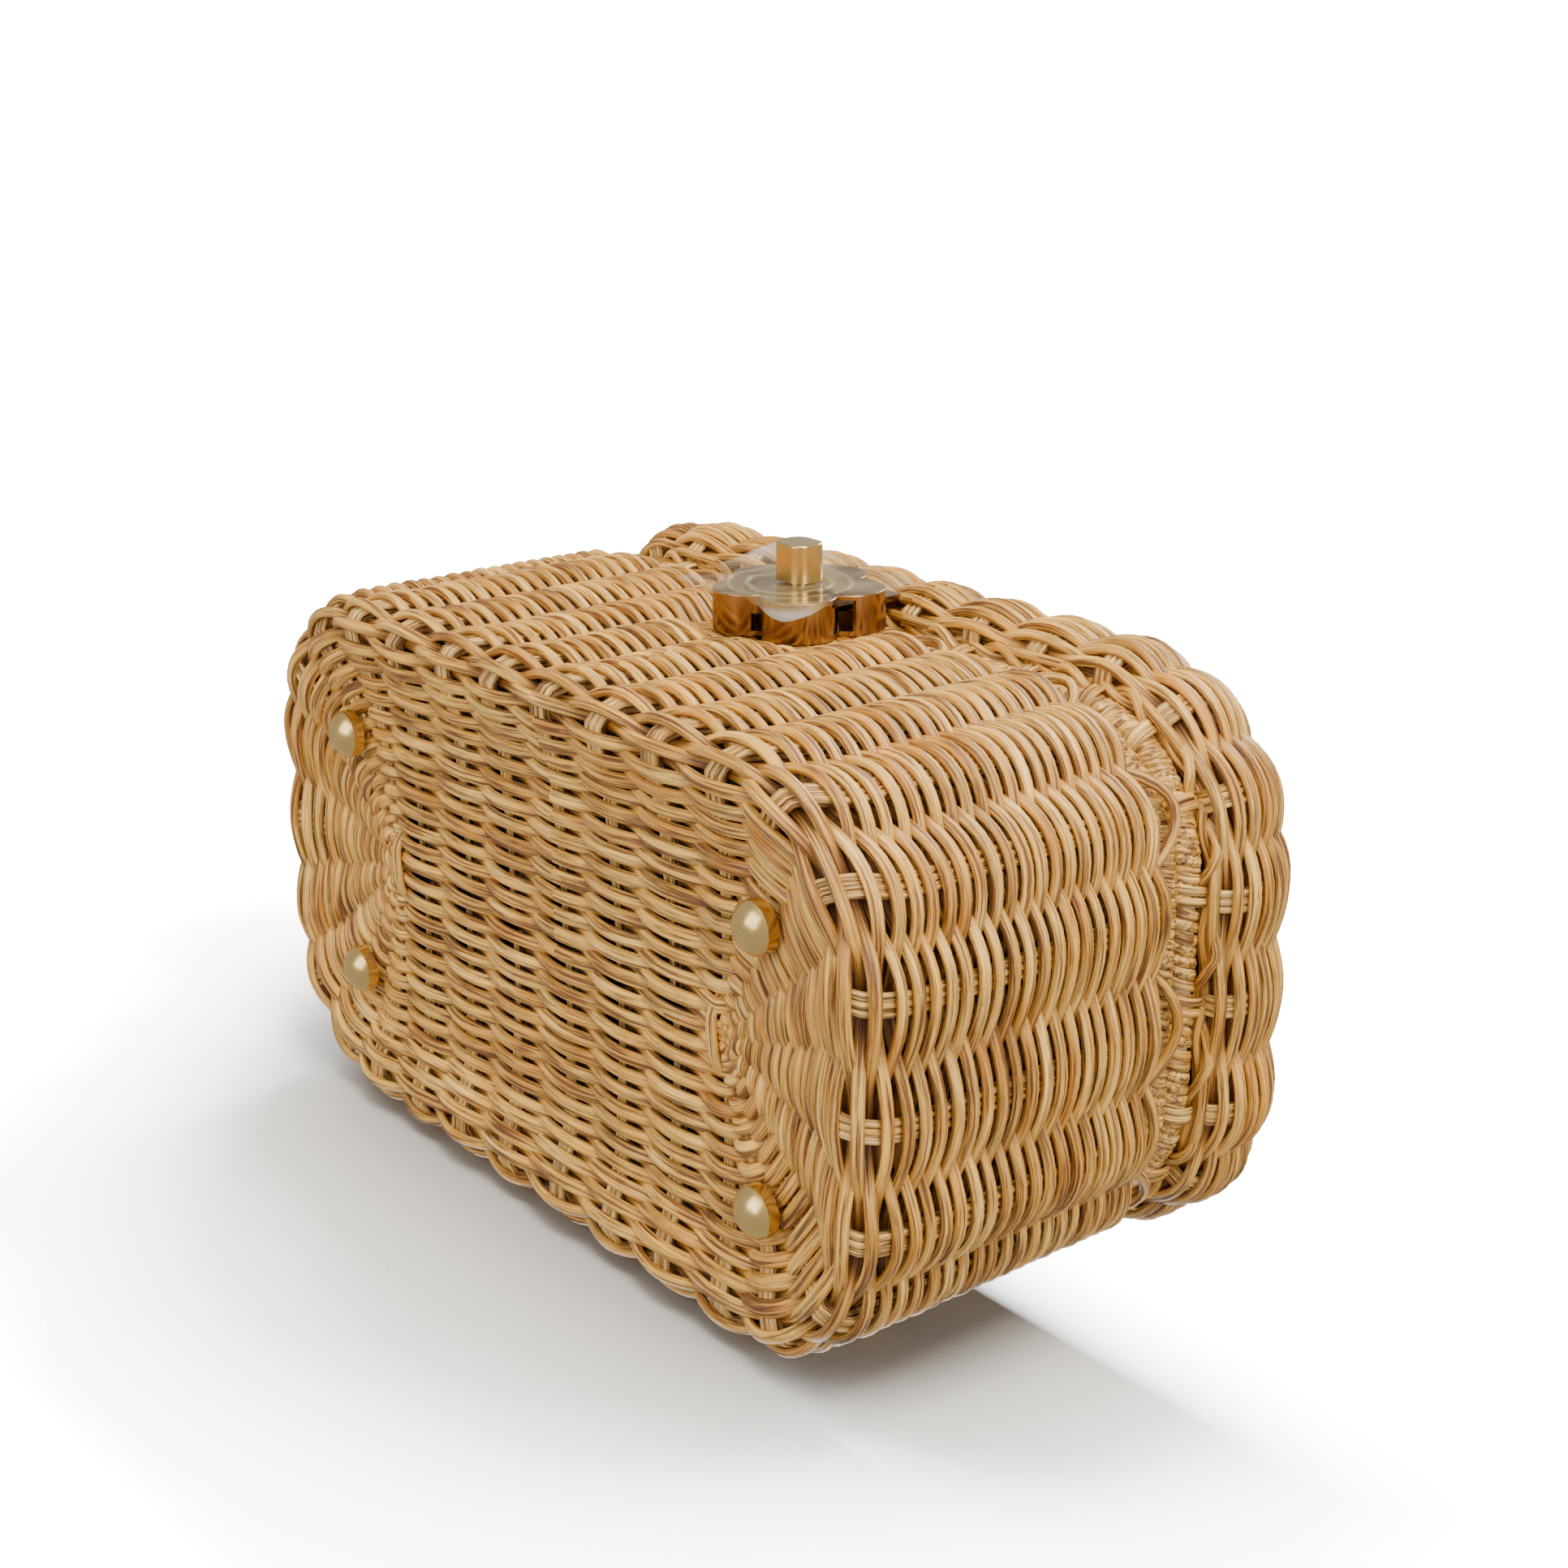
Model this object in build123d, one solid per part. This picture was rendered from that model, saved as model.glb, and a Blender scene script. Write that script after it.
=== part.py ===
from build123d import *
import os
from math import cos, radians, sin

# A woven rattan box bag: an oblong basket with rounded ends, a tray-shaped lid hinged
# along the back, a flower-shaped turn clasp on the front and four domed feet.
# Millimetres, +Z up, the front with the clasp faces -Y, and it stands on its feet at Z = 0.

# ---- Basket ---------------------------------------------------------------------------
length = 208.0  # across the front, over the woven ridges
depth = 120.0  # front to back, over the woven ridges
corner_r = 38.0  # the plan's rounded corners
body_rise = 84.4  # the base's edge to the seam
wall = 8.0  # a stake with a strand on either side
base_thickness = 7.0
base_edge_r = 8.0
base_recess = 4.0  # the middle of the base is pushed up above its edge
recess_inset = 14.0
recess_edge_r = 3.5
inner_edge_r = 4.0
seam_recess = 6.7  # the rims lie this far in from the walls
mouth_inset = 14.2  # the clear mouth, in from the walls
mouth_neck = 5.0  # height of the narrower mouth under the rim
seam_gap = 0.4

# ---- Rims -----------------------------------------------------------------------------
body_rim_r = 2.9  # over the cane wrapping
lid_rim_r = 3.5
wrap_thickness = 0.8
rim_seat = 0.8  # how deep each rim lies in the weave
rod_gap = 0.05
rim_gap = 0.2

# ---- Lid ------------------------------------------------------------------------------
lid_rise = 29.0  # seam to the top
lid_overhang = 2.5  # the lid stands proud of the basket all round
lid_wall = 7.0
lid_top_r = 13.0

# ---- Linings --------------------------------------------------------------------------
lining_thickness = 0.8
lining_gap = 0.3

# ---- Feet -----------------------------------------------------------------------------
foot_height = 5.0  # from the middle of the base to the ground
foot_r = 5.1
foot_dome_rise = 2.6
foot_flat = 0.2  # ground off the crown, so that it stands on a small flat
foot_shank_r = 2.0
foot_spacing_x = 144.0
foot_spacing_y = 55.4
foot_centre_y = 0.5
foot_screw_r = 1.2
foot_screw_head_r = 2.8
foot_screw_head = 1.2
foot_washer_r = 5.0
foot_washer_thickness = 0.8

# ---- Hinges ---------------------------------------------------------------------------
hinge_x = 45.0
hinge_width = 18.0
knuckle_r = 1.6
knuckle_out = 2.0  # the pin's axis lies this far outside the rims
knuckle_gap = 0.2
pin_r = 0.75
pin_press_gap = 0.01
pin_running_gap = 0.08
leaf_thickness = 0.8
leaf_gap = 0.1
leaf_height = 3.2
leaf_screw_r = 0.7
leaf_screw_head_r = 1.3
leaf_screw_head = 0.4
leaf_screw_length = 4.0
leaf_screw_spacing = 11.0

# ---- Clasp ----------------------------------------------------------------------------
clasp_below_seam = 13.4
clasp_sink = 4.2  # how far the base plate is drawn into the weave
petals = 5
petal_r = 8.0
petal_centre_r = 10.5
flower_core_r = 11.0
flower_turn = 14.0  # degrees off upright, as fitted by hand
base_plate = 1.0
case_depth = 7.5
case_wall = 0.9
case_face = 1.0
case_seat_gap = 0.4
notch_width = 2.5
notch_height = 3.7
window_width = 6.0
pillar_r = 2.2
pillar_height = 4.6
pillar_neck_r = 1.3
clasp_screw_r = 1.1
clasp_screw_head_r = 2.0
clasp_screw_head = 0.8
screw_gap = 0.05
backing_thickness = 0.8
backing_margin = 2.6
spindle_r = 1.75
spindle_gap = 0.08
spindle_end_gap = 0.2
knob_neck_r = 2.5
knob_neck = 0.8
knob_width = 9.4
knob_thickness = 8.2
knob_corner_r = 3.2
knob_height = 8.0
knob_edge_r = 0.5
bar_length = 9.6
bar_width = 3.6
bar_thickness = 1.6
bar_stand = 1.7  # base plate to latch bar
clip_thickness = 0.8
clip_r = 2.6
bar_gap = 0.4
tongue_thickness = 1.2
tongue_width = 15.0
tongue_shoulder = 3.5
tongue_gap = 0.4
tongue_screw_x = 5.0
tongue_screw_r = 0.9
tongue_screw_head_r = 1.6
tongue_screw_head = 0.7
tongue_screw_length = 5.5
film_thickness = 0.25
film_overlap = 2.0
film_hole_r = 3.2
film_gap = 0.05

# ---- Levels and lines worked out from the sizes above ---------------------------------
recess_z = foot_height
base_z = recess_z - base_recess
floor_z = recess_z + base_thickness
seam_z = base_z + body_rise
body_rim_z = seam_z - seam_gap / 2 - body_rim_r
lid_rim_z = seam_z + seam_gap / 2 + lid_rim_r
body_rim_inset = seam_recess + body_rim_r
lid_rim_inset = seam_recess + lid_rim_r
body_top_z = body_rim_z - body_rim_r + rim_seat
lid_low_z = lid_rim_z + lid_rim_r - rim_seat
lid_top_z = seam_z + lid_rise
body_shoulder_z = body_top_z - mouth_neck
lid_shoulder_z = lid_low_z + mouth_neck
lid_inner_inset = lid_wall - lid_overhang
lid_ceiling_z = lid_top_z - lid_wall

front_y = -depth / 2
back_rim_y = depth / 2 - seam_recess
pin_y = back_rim_y + knuckle_out
pin_z = seam_z

clasp_z = seam_z - clasp_below_seam
plate_back_y = front_y + clasp_sink
plate_front_y = plate_back_y - base_plate
case_front_y = plate_front_y - case_depth
bar_back_y = plate_front_y - bar_stand
bar_front_y = bar_back_y - bar_thickness
tongue_back_y = bar_back_y - (bar_thickness - tongue_thickness) / 2
tongue_front_y = tongue_back_y - tongue_thickness
clip_back_y = bar_back_y + clip_thickness
knob_back_y = case_front_y - knob_neck
knob_front_y = knob_back_y - knob_height
pocket_r = (bar_length**2 + bar_width**2) ** 0.5 / 2 + bar_gap
inner_wall_y = front_y + wall
lining_face_y = inner_wall_y + lining_gap + lining_thickness

# The origin lies under the middle of the whole bag, clasp and lid included.
origin_y = (knob_front_y + depth / 2 + lid_overhang) / 2


def plan(inset):
    """The basket's outline, drawn in by inset on every side."""
    return RectangleRounded(length - 2 * inset, depth - 2 * inset, corner_r - inset)


def block(inset, z_low, z_high, low_r=0, high_r=0):
    """An upright block on that outline, with its lower and upper edges rounded."""
    solid = Pos(0, 0, z_low) * extrude(plan(inset), z_high - z_low)
    if low_r:
        solid = fillet(solid.edges().group_by(Axis.Z)[0], low_r)
    if high_r:
        solid = fillet(solid.edges().group_by(Axis.Z)[-1], high_r)
    return solid


def hoop(inset, z, radius):
    """A round rod bent to that outline."""
    path = Pos(0, 0, z) * plan(inset).wire()
    return sweep(Plane(path @ 0, z_dir=path % 0) * Circle(radius), path=path)


def bar_x(x, y, z, radius, span):
    """A round bar along X, centred at x."""
    return Plane((x - span / 2, y, z), z_dir=(1, 0, 0)) * extrude(Circle(radius), span)


def pin_in_y(x, y_back, z, radius, span):
    """A round pin that starts at y_back and runs towards the front."""
    return Plane((x, y_back, z), z_dir=(0, -1, 0)) * extrude(Circle(radius), span)


def box_between(low, high):
    """A box from its lowest to its highest corner."""
    size = [b - a for a, b in zip(low, high)]
    middle = [(a + b) / 2 for a, b in zip(low, high)]
    return Pos(*middle) * Box(*size)


def polar(radius, angle):
    return radius * cos(radians(angle)), radius * sin(radians(angle))


# ---- Basket and lid -------------------------------------------------------------------
def body_cavity(grow):
    """The room inside the basket, shrunk by grow on every side."""
    return block(wall + grow, floor_z + grow, body_shoulder_z - grow, inner_edge_r, inner_edge_r)


def body_mouth(grow):
    return block(mouth_inset + grow, body_shoulder_z - mouth_neck, body_top_z + 1)


def lid_cavity(grow):
    """The room inside the lid, shrunk by grow on every side."""
    low, high = lid_shoulder_z + grow, lid_ceiling_z - grow
    return block(lid_inner_inset + grow, low, high, inner_edge_r, inner_edge_r)


def lid_mouth(grow):
    return block(mouth_inset + grow, lid_low_z - 1, lid_shoulder_z + mouth_neck)


foot_places = {
    "foot_front_left": (-foot_spacing_x / 2, foot_centre_y - foot_spacing_y / 2),
    "foot_front_right": (foot_spacing_x / 2, foot_centre_y - foot_spacing_y / 2),
    "foot_rear_left": (-foot_spacing_x / 2, foot_centre_y + foot_spacing_y / 2),
    "foot_rear_right": (foot_spacing_x / 2, foot_centre_y + foot_spacing_y / 2),
}

# Screws through the clasp's base plate, and the pillars that carry its case.
clasp_screw_places = [polar(10.4, -40), polar(10.0, -125), polar(10.5, 191)]
pillar_places = [polar(10.2, -4), polar(12.6, -95), polar(12.0, 158)]


def shaft_up(place, radius, z_low, z_high):
    """An upright round bar at a place in plan."""
    return Pos(place[0], place[1], z_low) * extrude(Circle(radius), z_high - z_low)


def make_body_weave():
    top_r = seam_recess
    shell = block(0, base_z, body_top_z, base_edge_r, top_r)
    shell -= block(recess_inset, base_z - 1, recess_z, 0, recess_edge_r)
    shell -= body_cavity(0) + body_mouth(0)
    shell -= hoop(body_rim_inset, body_rim_z, body_rim_r + rim_gap)
    for place in foot_places.values():
        shell -= shaft_up(place, foot_shank_r + rim_gap, base_z - 1, floor_z + 1)
    shell -= extrude(clasp_face(plate_back_y) * flower(case_seat_gap), clasp_sink + 2)
    for x, z in clasp_screw_places:
        shell -= pin_in_y(x, inner_wall_y + 1, clasp_z + z, clasp_screw_r + screw_gap, clasp_sink + wall)
    return shell


def make_lid_weave():
    outer_inset = -lid_overhang
    low_r = seam_recess + lid_overhang
    shell = block(outer_inset, lid_low_z, lid_top_z, low_r, lid_top_r)
    shell -= lid_cavity(0) + lid_mouth(0)
    shell -= hoop(lid_rim_inset, lid_rim_z, lid_rim_r + rim_gap)
    shell -= tongue_slot()
    return shell


def make_rim(inset, z, radius):
    """A rim's wooden rod and the cane wound round it, as two pieces."""
    core = hoop(inset, z, radius - wrap_thickness - rod_gap)
    wrap = hoop(inset, z, radius) - hoop(inset, z, radius - wrap_thickness)
    return core, wrap


def make_body_lining():
    outside = body_cavity(lining_gap)
    inside = body_cavity(lining_gap + lining_thickness)
    hem_z = body_shoulder_z - inner_edge_r - lining_gap
    lining = (outside - inside) & block(0, base_z, hem_z)
    for place in foot_places.values():
        lining -= shaft_up(place, foot_shank_r + rim_gap, floor_z - 1, floor_z + 2)
    for x, z in clasp_screw_places:
        lining -= pin_in_y(x, lining_face_y + 1, clasp_z + z, clasp_screw_r + screw_gap, 3)
    return lining


def make_lid_lining():
    outside = lid_cavity(lining_gap)
    inside = lid_cavity(lining_gap + lining_thickness)
    hem_z = lid_shoulder_z + inner_edge_r + lining_gap
    return (outside - inside) & block(-lid_overhang, hem_z, lid_top_z)


# ---- Feet -----------------------------------------------------------------------------
def make_foot(place):
    """A domed foot with a straight rim and a tubular shank through the base."""
    dome_rise = foot_dome_rise + foot_flat
    sphere_r = (foot_r**2 + dome_rise**2) / (2 * dome_rise)
    rim_z = foot_dome_rise
    foot = shaft_up(place, foot_r, rim_z, recess_z)
    dome = Pos(place[0], place[1], sphere_r - foot_flat) * Sphere(sphere_r)
    foot += dome & shaft_up(place, foot_r, 0, rim_z)
    foot += shaft_up(place, foot_shank_r, recess_z, floor_z + lining_gap + lining_thickness - rod_gap)
    return foot - shaft_up(place, foot_screw_r + screw_gap, recess_z - 1, floor_z + 5)


washer_z = floor_z + lining_gap + lining_thickness


def make_foot_washer(place):
    ring = shaft_up(place, foot_washer_r, washer_z, washer_z + foot_washer_thickness)
    return ring - shaft_up(place, foot_screw_r + screw_gap, washer_z - 1, washer_z + 2)


def make_foot_screw(place):
    head_z = washer_z + foot_washer_thickness
    shank = shaft_up(place, foot_screw_r, recess_z, head_z)
    return shank + shaft_up(place, foot_screw_head_r, head_z, head_z + foot_screw_head)


# ---- Hinges ---------------------------------------------------------------------------
body_knuckle = hinge_width * 0.25
leaf_back_y = back_rim_y + leaf_gap


def knuckle_spans(x, of_body):
    """Each knuckle of one leaf, as its middle and its width."""
    if not of_body:
        return [(x, hinge_width - 2 * body_knuckle - 2 * knuckle_gap)]
    offset = (hinge_width - body_knuckle) / 2
    return [(x - offset, body_knuckle), (x + offset, body_knuckle)]


def make_leaf(x, of_body):
    """A hinge leaf screwed to its rim, with its knuckles round the pin."""
    way = -1 if of_body else 1
    near_z = pin_z + way * (knuckle_r + knuckle_gap)
    far_z = near_z + way * leaf_height
    bore = pin_r + (pin_press_gap if of_body else pin_running_gap)
    low_z, high_z = sorted((near_z, far_z))
    half = hinge_width / 2
    leaf_front_y = leaf_back_y + leaf_thickness
    leaf = box_between((x - half, leaf_back_y, low_z), (x + half, leaf_front_y, high_z))
    for middle, span in knuckle_spans(x, of_body):
        low_z, high_z = sorted((pin_z, near_z))
        leaf += box_between((middle - span / 2, leaf_back_y, low_z), (middle + span / 2, pin_y, high_z))
        leaf += bar_x(middle, pin_y, pin_z, knuckle_r, span)
    leaf -= bar_x(x, pin_y, pin_z, bore, hinge_width + 2)
    for sx in (x - leaf_screw_spacing / 2, x + leaf_screw_spacing / 2):
        leaf -= pin_in_y(sx, leaf_front_y + 1, rim_screw_z(of_body), leaf_screw_r + screw_gap, 3)
    return leaf


def rim_screw_z(of_body):
    return body_rim_z if of_body else lid_rim_z


def make_leaf_screws(of_body, grow=0.0):
    """The small screws that hold one side of both hinges to the rim."""
    screws = []
    face_y = leaf_back_y + leaf_thickness
    for x in (-hinge_x, hinge_x):
        for sx in (x - leaf_screw_spacing / 2, x + leaf_screw_spacing / 2):
            z = rim_screw_z(of_body)
            screw = pin_in_y(sx, face_y, z, leaf_screw_r + grow, leaf_screw_length + grow)
            screw += pin_in_y(sx, face_y + leaf_screw_head, z, leaf_screw_head_r + grow, leaf_screw_head)
            screws.append(screw)
    return screws


def make_pin(x):
    return bar_x(x, pin_y, pin_z, pin_r, hinge_width)


# ---- Clasp ----------------------------------------------------------------------------
def clasp_face(y):
    """A plane at y that looks out of the front, centred on the clasp."""
    return Plane((0, y, clasp_z), x_dir=(1, 0, 0), z_dir=(0, -1, 0))


def flower(grow=0.0):
    """The five-petal outline, grown all round."""
    outline = Circle(flower_core_r + grow)
    for i in range(petals):
        angle = 90 + flower_turn + i * 360 / petals
        outline += Pos(*polar(petal_centre_r, angle)) * Circle(petal_r + grow)
    return outline


def make_clasp_base():
    plate = extrude(clasp_face(plate_back_y) * flower(), base_plate)
    above = box_between((-40, front_y - 20, seam_z - 1), (40, 0, seam_z + 60))
    plate -= above
    for x, z in clasp_screw_places:
        plate -= pin_in_y(x, plate_back_y + 1, clasp_z + z, clasp_screw_r + screw_gap, 3)
    return plate


def make_clasp_case():
    case = extrude(clasp_face(plate_front_y) * flower(), case_depth)
    case -= extrude(clasp_face(plate_front_y) * flower(-case_wall), case_depth - case_face)
    inner_front_y = case_front_y + case_face
    # the way in for the tongue, through the upper wall
    half = tongue_width / 2 + tongue_gap
    case -= box_between(
        (-half, inner_front_y + tongue_gap, clasp_z + pocket_r),
        (half, plate_front_y + 1, clasp_z + 30),
    )
    # the window beside the pillar, and the small notch between two petals
    window = Box(12, case_depth - case_face, window_width)
    window_y = (plate_front_y + inner_front_y) / 2
    wx, wz = polar(16.0, -4)
    case -= Pos(wx, window_y, clasp_z + wz) * Rot(0, 4, 0) * window
    nx, nz = polar(14.5, -76)
    notch = Box(notch_width, notch_height, 6)
    case -= Pos(nx, plate_front_y - notch_height / 2, clasp_z + nz) * Rot(0, -14, 0) * notch
    case -= pin_in_y(0, case_front_y + 3, clasp_z, knob_neck_r + spindle_gap, 5)
    return fillet(case.faces().sort_by(Axis.Y)[0].outer_wire().edges(), 0.3)


def make_pillar(x, z):
    pillar = pin_in_y(x, plate_front_y, clasp_z + z, pillar_r, pillar_height)
    neck = case_depth - case_face
    return pillar + pin_in_y(x, plate_front_y, clasp_z + z, pillar_neck_r, neck)


def make_backing():
    """The plate inside the basket that the clasp's screws pull against."""
    xs = [x for x, _ in clasp_screw_places]
    zs = [clasp_z + z for _, z in clasp_screw_places]
    flat_top_z = body_shoulder_z - inner_edge_r - lining_gap - lining_thickness
    high_z = min(max(zs) + backing_margin, flat_top_z)
    low = (min(xs) - backing_margin, lining_face_y, min(zs) - backing_margin)
    high = (max(xs) + backing_margin, lining_face_y + backing_thickness, high_z)
    plate = box_between(low, high)
    for x, z in clasp_screw_places:
        plate -= pin_in_y(x, lining_face_y + 3, clasp_z + z, clasp_screw_r + screw_gap, 5)
    return plate


def make_clasp_screw(x, z):
    end_y = lining_face_y + backing_thickness
    screw = pin_in_y(x, end_y, clasp_z + z, clasp_screw_r, end_y - plate_front_y)
    return screw + pin_in_y(x, plate_front_y, clasp_z + z, clasp_screw_head_r, clasp_screw_head)


def make_knob():
    """The knob with its neck and the spindle that it turns."""
    face = RectangleRounded(knob_width, knob_thickness, knob_corner_r)
    knob = extrude(clasp_face(knob_back_y) * face, knob_height)
    knob = fillet(knob.faces().sort_by(Axis.Y)[0].edges(), knob_edge_r)
    inner_front_y = case_front_y + case_face
    knob += pin_in_y(0, inner_front_y, clasp_z, knob_neck_r, inner_front_y - knob_back_y)
    end_y = plate_front_y - spindle_end_gap
    knob += pin_in_y(0, end_y, clasp_z, spindle_r, end_y - inner_front_y)
    return knob


def make_latch_bar():
    bar = extrude(clasp_face(bar_back_y) * RectangleRounded(bar_width, bar_length, bar_width * 0.3), bar_thickness)
    return bar - pin_in_y(0, bar_back_y + 1, clasp_z, spindle_r + pin_press_gap, 5)


def make_clip():
    clip = pin_in_y(0, clip_back_y, clasp_z, clip_r, clip_thickness)
    return clip - pin_in_y(0, clip_back_y + 1, clasp_z, spindle_r + pin_press_gap, 5)


flange_z = lid_rim_z + lid_rim_r + rod_gap
flange_top_z = flange_z + tongue_thickness
lid_rim_y = front_y + lid_rim_inset


def make_tongue():
    """A bent plate: a flange screwed to the lid's rim and a forked end that hangs in the case."""
    half = tongue_width / 2
    low_z = clasp_z - pocket_r - tongue_shoulder
    plate = box_between((-half, tongue_front_y, low_z), (half, tongue_back_y, flange_top_z))
    flange_end_y = lid_rim_y + lid_rim_r
    plate += box_between((-half, tongue_front_y, flange_z), (half, flange_end_y, flange_top_z))
    plate -= pin_in_y(0, tongue_back_y + 1, clasp_z, pocket_r, tongue_thickness + 2)
    slot = bar_width / 2 + bar_gap
    plate -= box_between((-slot, tongue_front_y - 1, low_z - 1), (slot, tongue_back_y + 1, clasp_z))
    for x in (-tongue_screw_x, tongue_screw_x):
        plate -= shaft_up((x, lid_rim_y), tongue_screw_r + screw_gap, flange_z - 1, flange_top_z + 1)
    return plate


def make_tongue_screws(grow=0.0):
    screws = []
    for x in (-tongue_screw_x, tongue_screw_x):
        place = (x, lid_rim_y)
        low_z = flange_top_z - tongue_screw_length
        screw = shaft_up(place, tongue_screw_r + grow, low_z - grow, flange_top_z)
        screw += shaft_up(place, tongue_screw_head_r + grow, flange_top_z, flange_top_z + tongue_screw_head + grow)
        screws.append(screw)
    return screws


def tongue_slot():
    """The room that the tongue's flange and screws take in the lid's lower edge."""
    half = tongue_width / 2 + tongue_gap
    low = (-half, tongue_front_y - tongue_gap, lid_low_z - 1)
    high_z = flange_top_z + tongue_screw_head + tongue_gap
    high = (half, lid_rim_y + lid_rim_r + tongue_gap, high_z)
    return box_between(low, high)


def make_film():
    sheet = extrude(clasp_face(case_front_y - film_gap) * flower(film_overlap), film_thickness)
    return sheet - pin_in_y(0, case_front_y + 1, clasp_z, film_hole_r, 3)


# ---- Assembly -------------------------------------------------------------------------
body_rod, body_wrap = make_rim(body_rim_inset, body_rim_z, body_rim_r)
lid_rod, lid_wrap = make_rim(lid_rim_inset, lid_rim_z, lid_rim_r)
for hole in make_leaf_screws(True, screw_gap):
    body_rod -= hole
    body_wrap -= hole
for hole in make_leaf_screws(False, screw_gap) + make_tongue_screws(screw_gap):
    lid_rod -= hole
    lid_wrap -= hole

# Each node is a list of its solids: one piece, or a set of identical fasteners.
parts = {
    "body_weave": [make_body_weave()],
    "body_rim_rod": [body_rod],
    "body_rim_wrap": [body_wrap],
    "body_lining": [make_body_lining()],
    "foot_washers": [make_foot_washer(place) for place in foot_places.values()],
    "foot_screws": [make_foot_screw(place) for place in foot_places.values()],
    "clasp_base": [make_clasp_base()],
    "clasp_case": [make_clasp_case()],
    "clasp_pillars": [make_pillar(x, z) for x, z in pillar_places],
    "clasp_backing": [make_backing()],
    "clasp_screws": [make_clasp_screw(x, z) for x, z in clasp_screw_places],
    "protective_film": [make_film()],
    "body_hinge_screws": make_leaf_screws(True),
    "lid_hinge_screws": make_leaf_screws(False),
    "lid_weave": [make_lid_weave()],
    "lid_rim_rod": [lid_rod],
    "lid_rim_wrap": [lid_wrap],
    "lid_lining": [make_lid_lining()],
    "lid_tongue": [make_tongue()],
    "tongue_screws": make_tongue_screws(),
    "turn_knob": [make_knob()],
    "latch_bar": [make_latch_bar()],
    "spindle_clip": [make_clip()],
}
for name, place in foot_places.items():
    parts[name] = [make_foot(place)]
for side, x in (("left", -hinge_x), ("right", hinge_x)):
    parts[f"hinge_{side}_body_leaf"] = [make_leaf(x, True)]
    parts[f"hinge_{side}_lid_leaf"] = [make_leaf(x, False)]
    parts[f"hinge_{side}_pin"] = [make_pin(x)]

os.makedirs("parts", exist_ok=True)
for name, pieces in parts.items():
    placed = [Pos(0, -origin_y, 0) * piece for piece in pieces]
    shape = placed[0] if len(placed) == 1 else Compound(children=placed)
    export_step(shape, f"parts/{name}.step")
print(f"hinge axis y {pin_y - origin_y:.3f} z {pin_z:.3f}, clasp axis z {clasp_z:.3f}")
print(f"front left foot x {foot_places['foot_front_left'][0]:.3f} y {foot_places['foot_front_left'][1] - origin_y:.3f}")
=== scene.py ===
# %% [markdown]
# # Woven rattan box bag with a turning flower clasp
#
# The bag is a small box of woven rattan with a hinged lid, a brass flower clasp and four
# brass feet. The solid model gives every size and place and the way the lid and the knob
# move. This lesson lays the real weave, the cane wrapping, the cloth lining and the metal
# finishes round it. Everything is in metres in the solid model's own frame.

import math

import bpy
import numpy as np
from mathutils import Matrix, Vector


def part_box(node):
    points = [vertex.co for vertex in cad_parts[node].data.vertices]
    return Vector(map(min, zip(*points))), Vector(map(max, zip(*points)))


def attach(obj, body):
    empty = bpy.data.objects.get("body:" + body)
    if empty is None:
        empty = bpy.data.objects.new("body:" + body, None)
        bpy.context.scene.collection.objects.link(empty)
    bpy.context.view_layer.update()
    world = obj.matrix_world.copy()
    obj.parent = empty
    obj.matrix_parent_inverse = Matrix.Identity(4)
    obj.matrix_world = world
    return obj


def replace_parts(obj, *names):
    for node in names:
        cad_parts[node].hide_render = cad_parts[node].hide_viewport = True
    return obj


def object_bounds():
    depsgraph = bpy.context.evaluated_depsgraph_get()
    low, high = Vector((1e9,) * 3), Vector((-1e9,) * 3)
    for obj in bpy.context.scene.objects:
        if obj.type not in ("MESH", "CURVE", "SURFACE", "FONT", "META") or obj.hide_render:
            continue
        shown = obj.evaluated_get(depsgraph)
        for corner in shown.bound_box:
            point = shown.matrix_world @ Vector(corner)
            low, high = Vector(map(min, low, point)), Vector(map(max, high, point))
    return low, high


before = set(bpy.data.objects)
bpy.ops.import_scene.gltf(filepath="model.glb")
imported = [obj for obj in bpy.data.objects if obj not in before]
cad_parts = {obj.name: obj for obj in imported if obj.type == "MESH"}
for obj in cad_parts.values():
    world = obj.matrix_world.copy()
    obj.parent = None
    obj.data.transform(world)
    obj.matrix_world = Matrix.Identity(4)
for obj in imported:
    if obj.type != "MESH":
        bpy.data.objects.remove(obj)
cad_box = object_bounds()
bpy.ops.object.select_all(action="DESELECT")
print("the solid model's box is", [tuple(round(v, 4) for v in corner) for corner in cad_box])

# %% [markdown]
# ## Reading the sizes
#
# The shell of the basket and the shell of the lid are rounded boxes. The weave has to fill
# exactly the walls that the solid model holds, so its driving sizes are read from the
# solid model's boxes. The few that a box can't tell, such as the corner radius and the
# wall thickness, are named here once. Lengths below are in millimetres, because a strand
# two millimetres wide is easier to think about than one of 0.002 metres.

# %% Driving sizes
MM = 0.001


def box_mm(node):
    """The lowest and highest corners of a solid, in millimetres."""
    low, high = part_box(node)
    return np.array(low) / MM, np.array(high) / MM


basket_low, basket_high = box_mm("body_weave")
lid_low, lid_high = box_mm("lid_weave")
centre_y = (basket_low[1] + basket_high[1]) / 2
basket_half = (basket_high - basket_low)[:2] / 2
lid_half = (lid_high - lid_low)[:2] / 2
BASKET_CORNER = 38.0
LID_CORNER = BASKET_CORNER + (lid_half[0] - basket_half[0])
WALL = 8.0
STRAND = 2.3
BASE_STRAND = 2.95
BASE_PITCH = 2.05
WALL_PITCH = 1.9
TOP_PITCH = 1.66
LID_PITCH = 1.5
BAYS = 30
FULL_BAY = 13.0
BASE_RECESS = 4.0
STEPS_PER_BAY = 8
SIDES = 8
FAN_CENTRE = 57.0
BASKET_FLAT_FROM, LID_FLAT_FROM = 8.0, 13.0
dice = np.random.default_rng(20)
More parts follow.
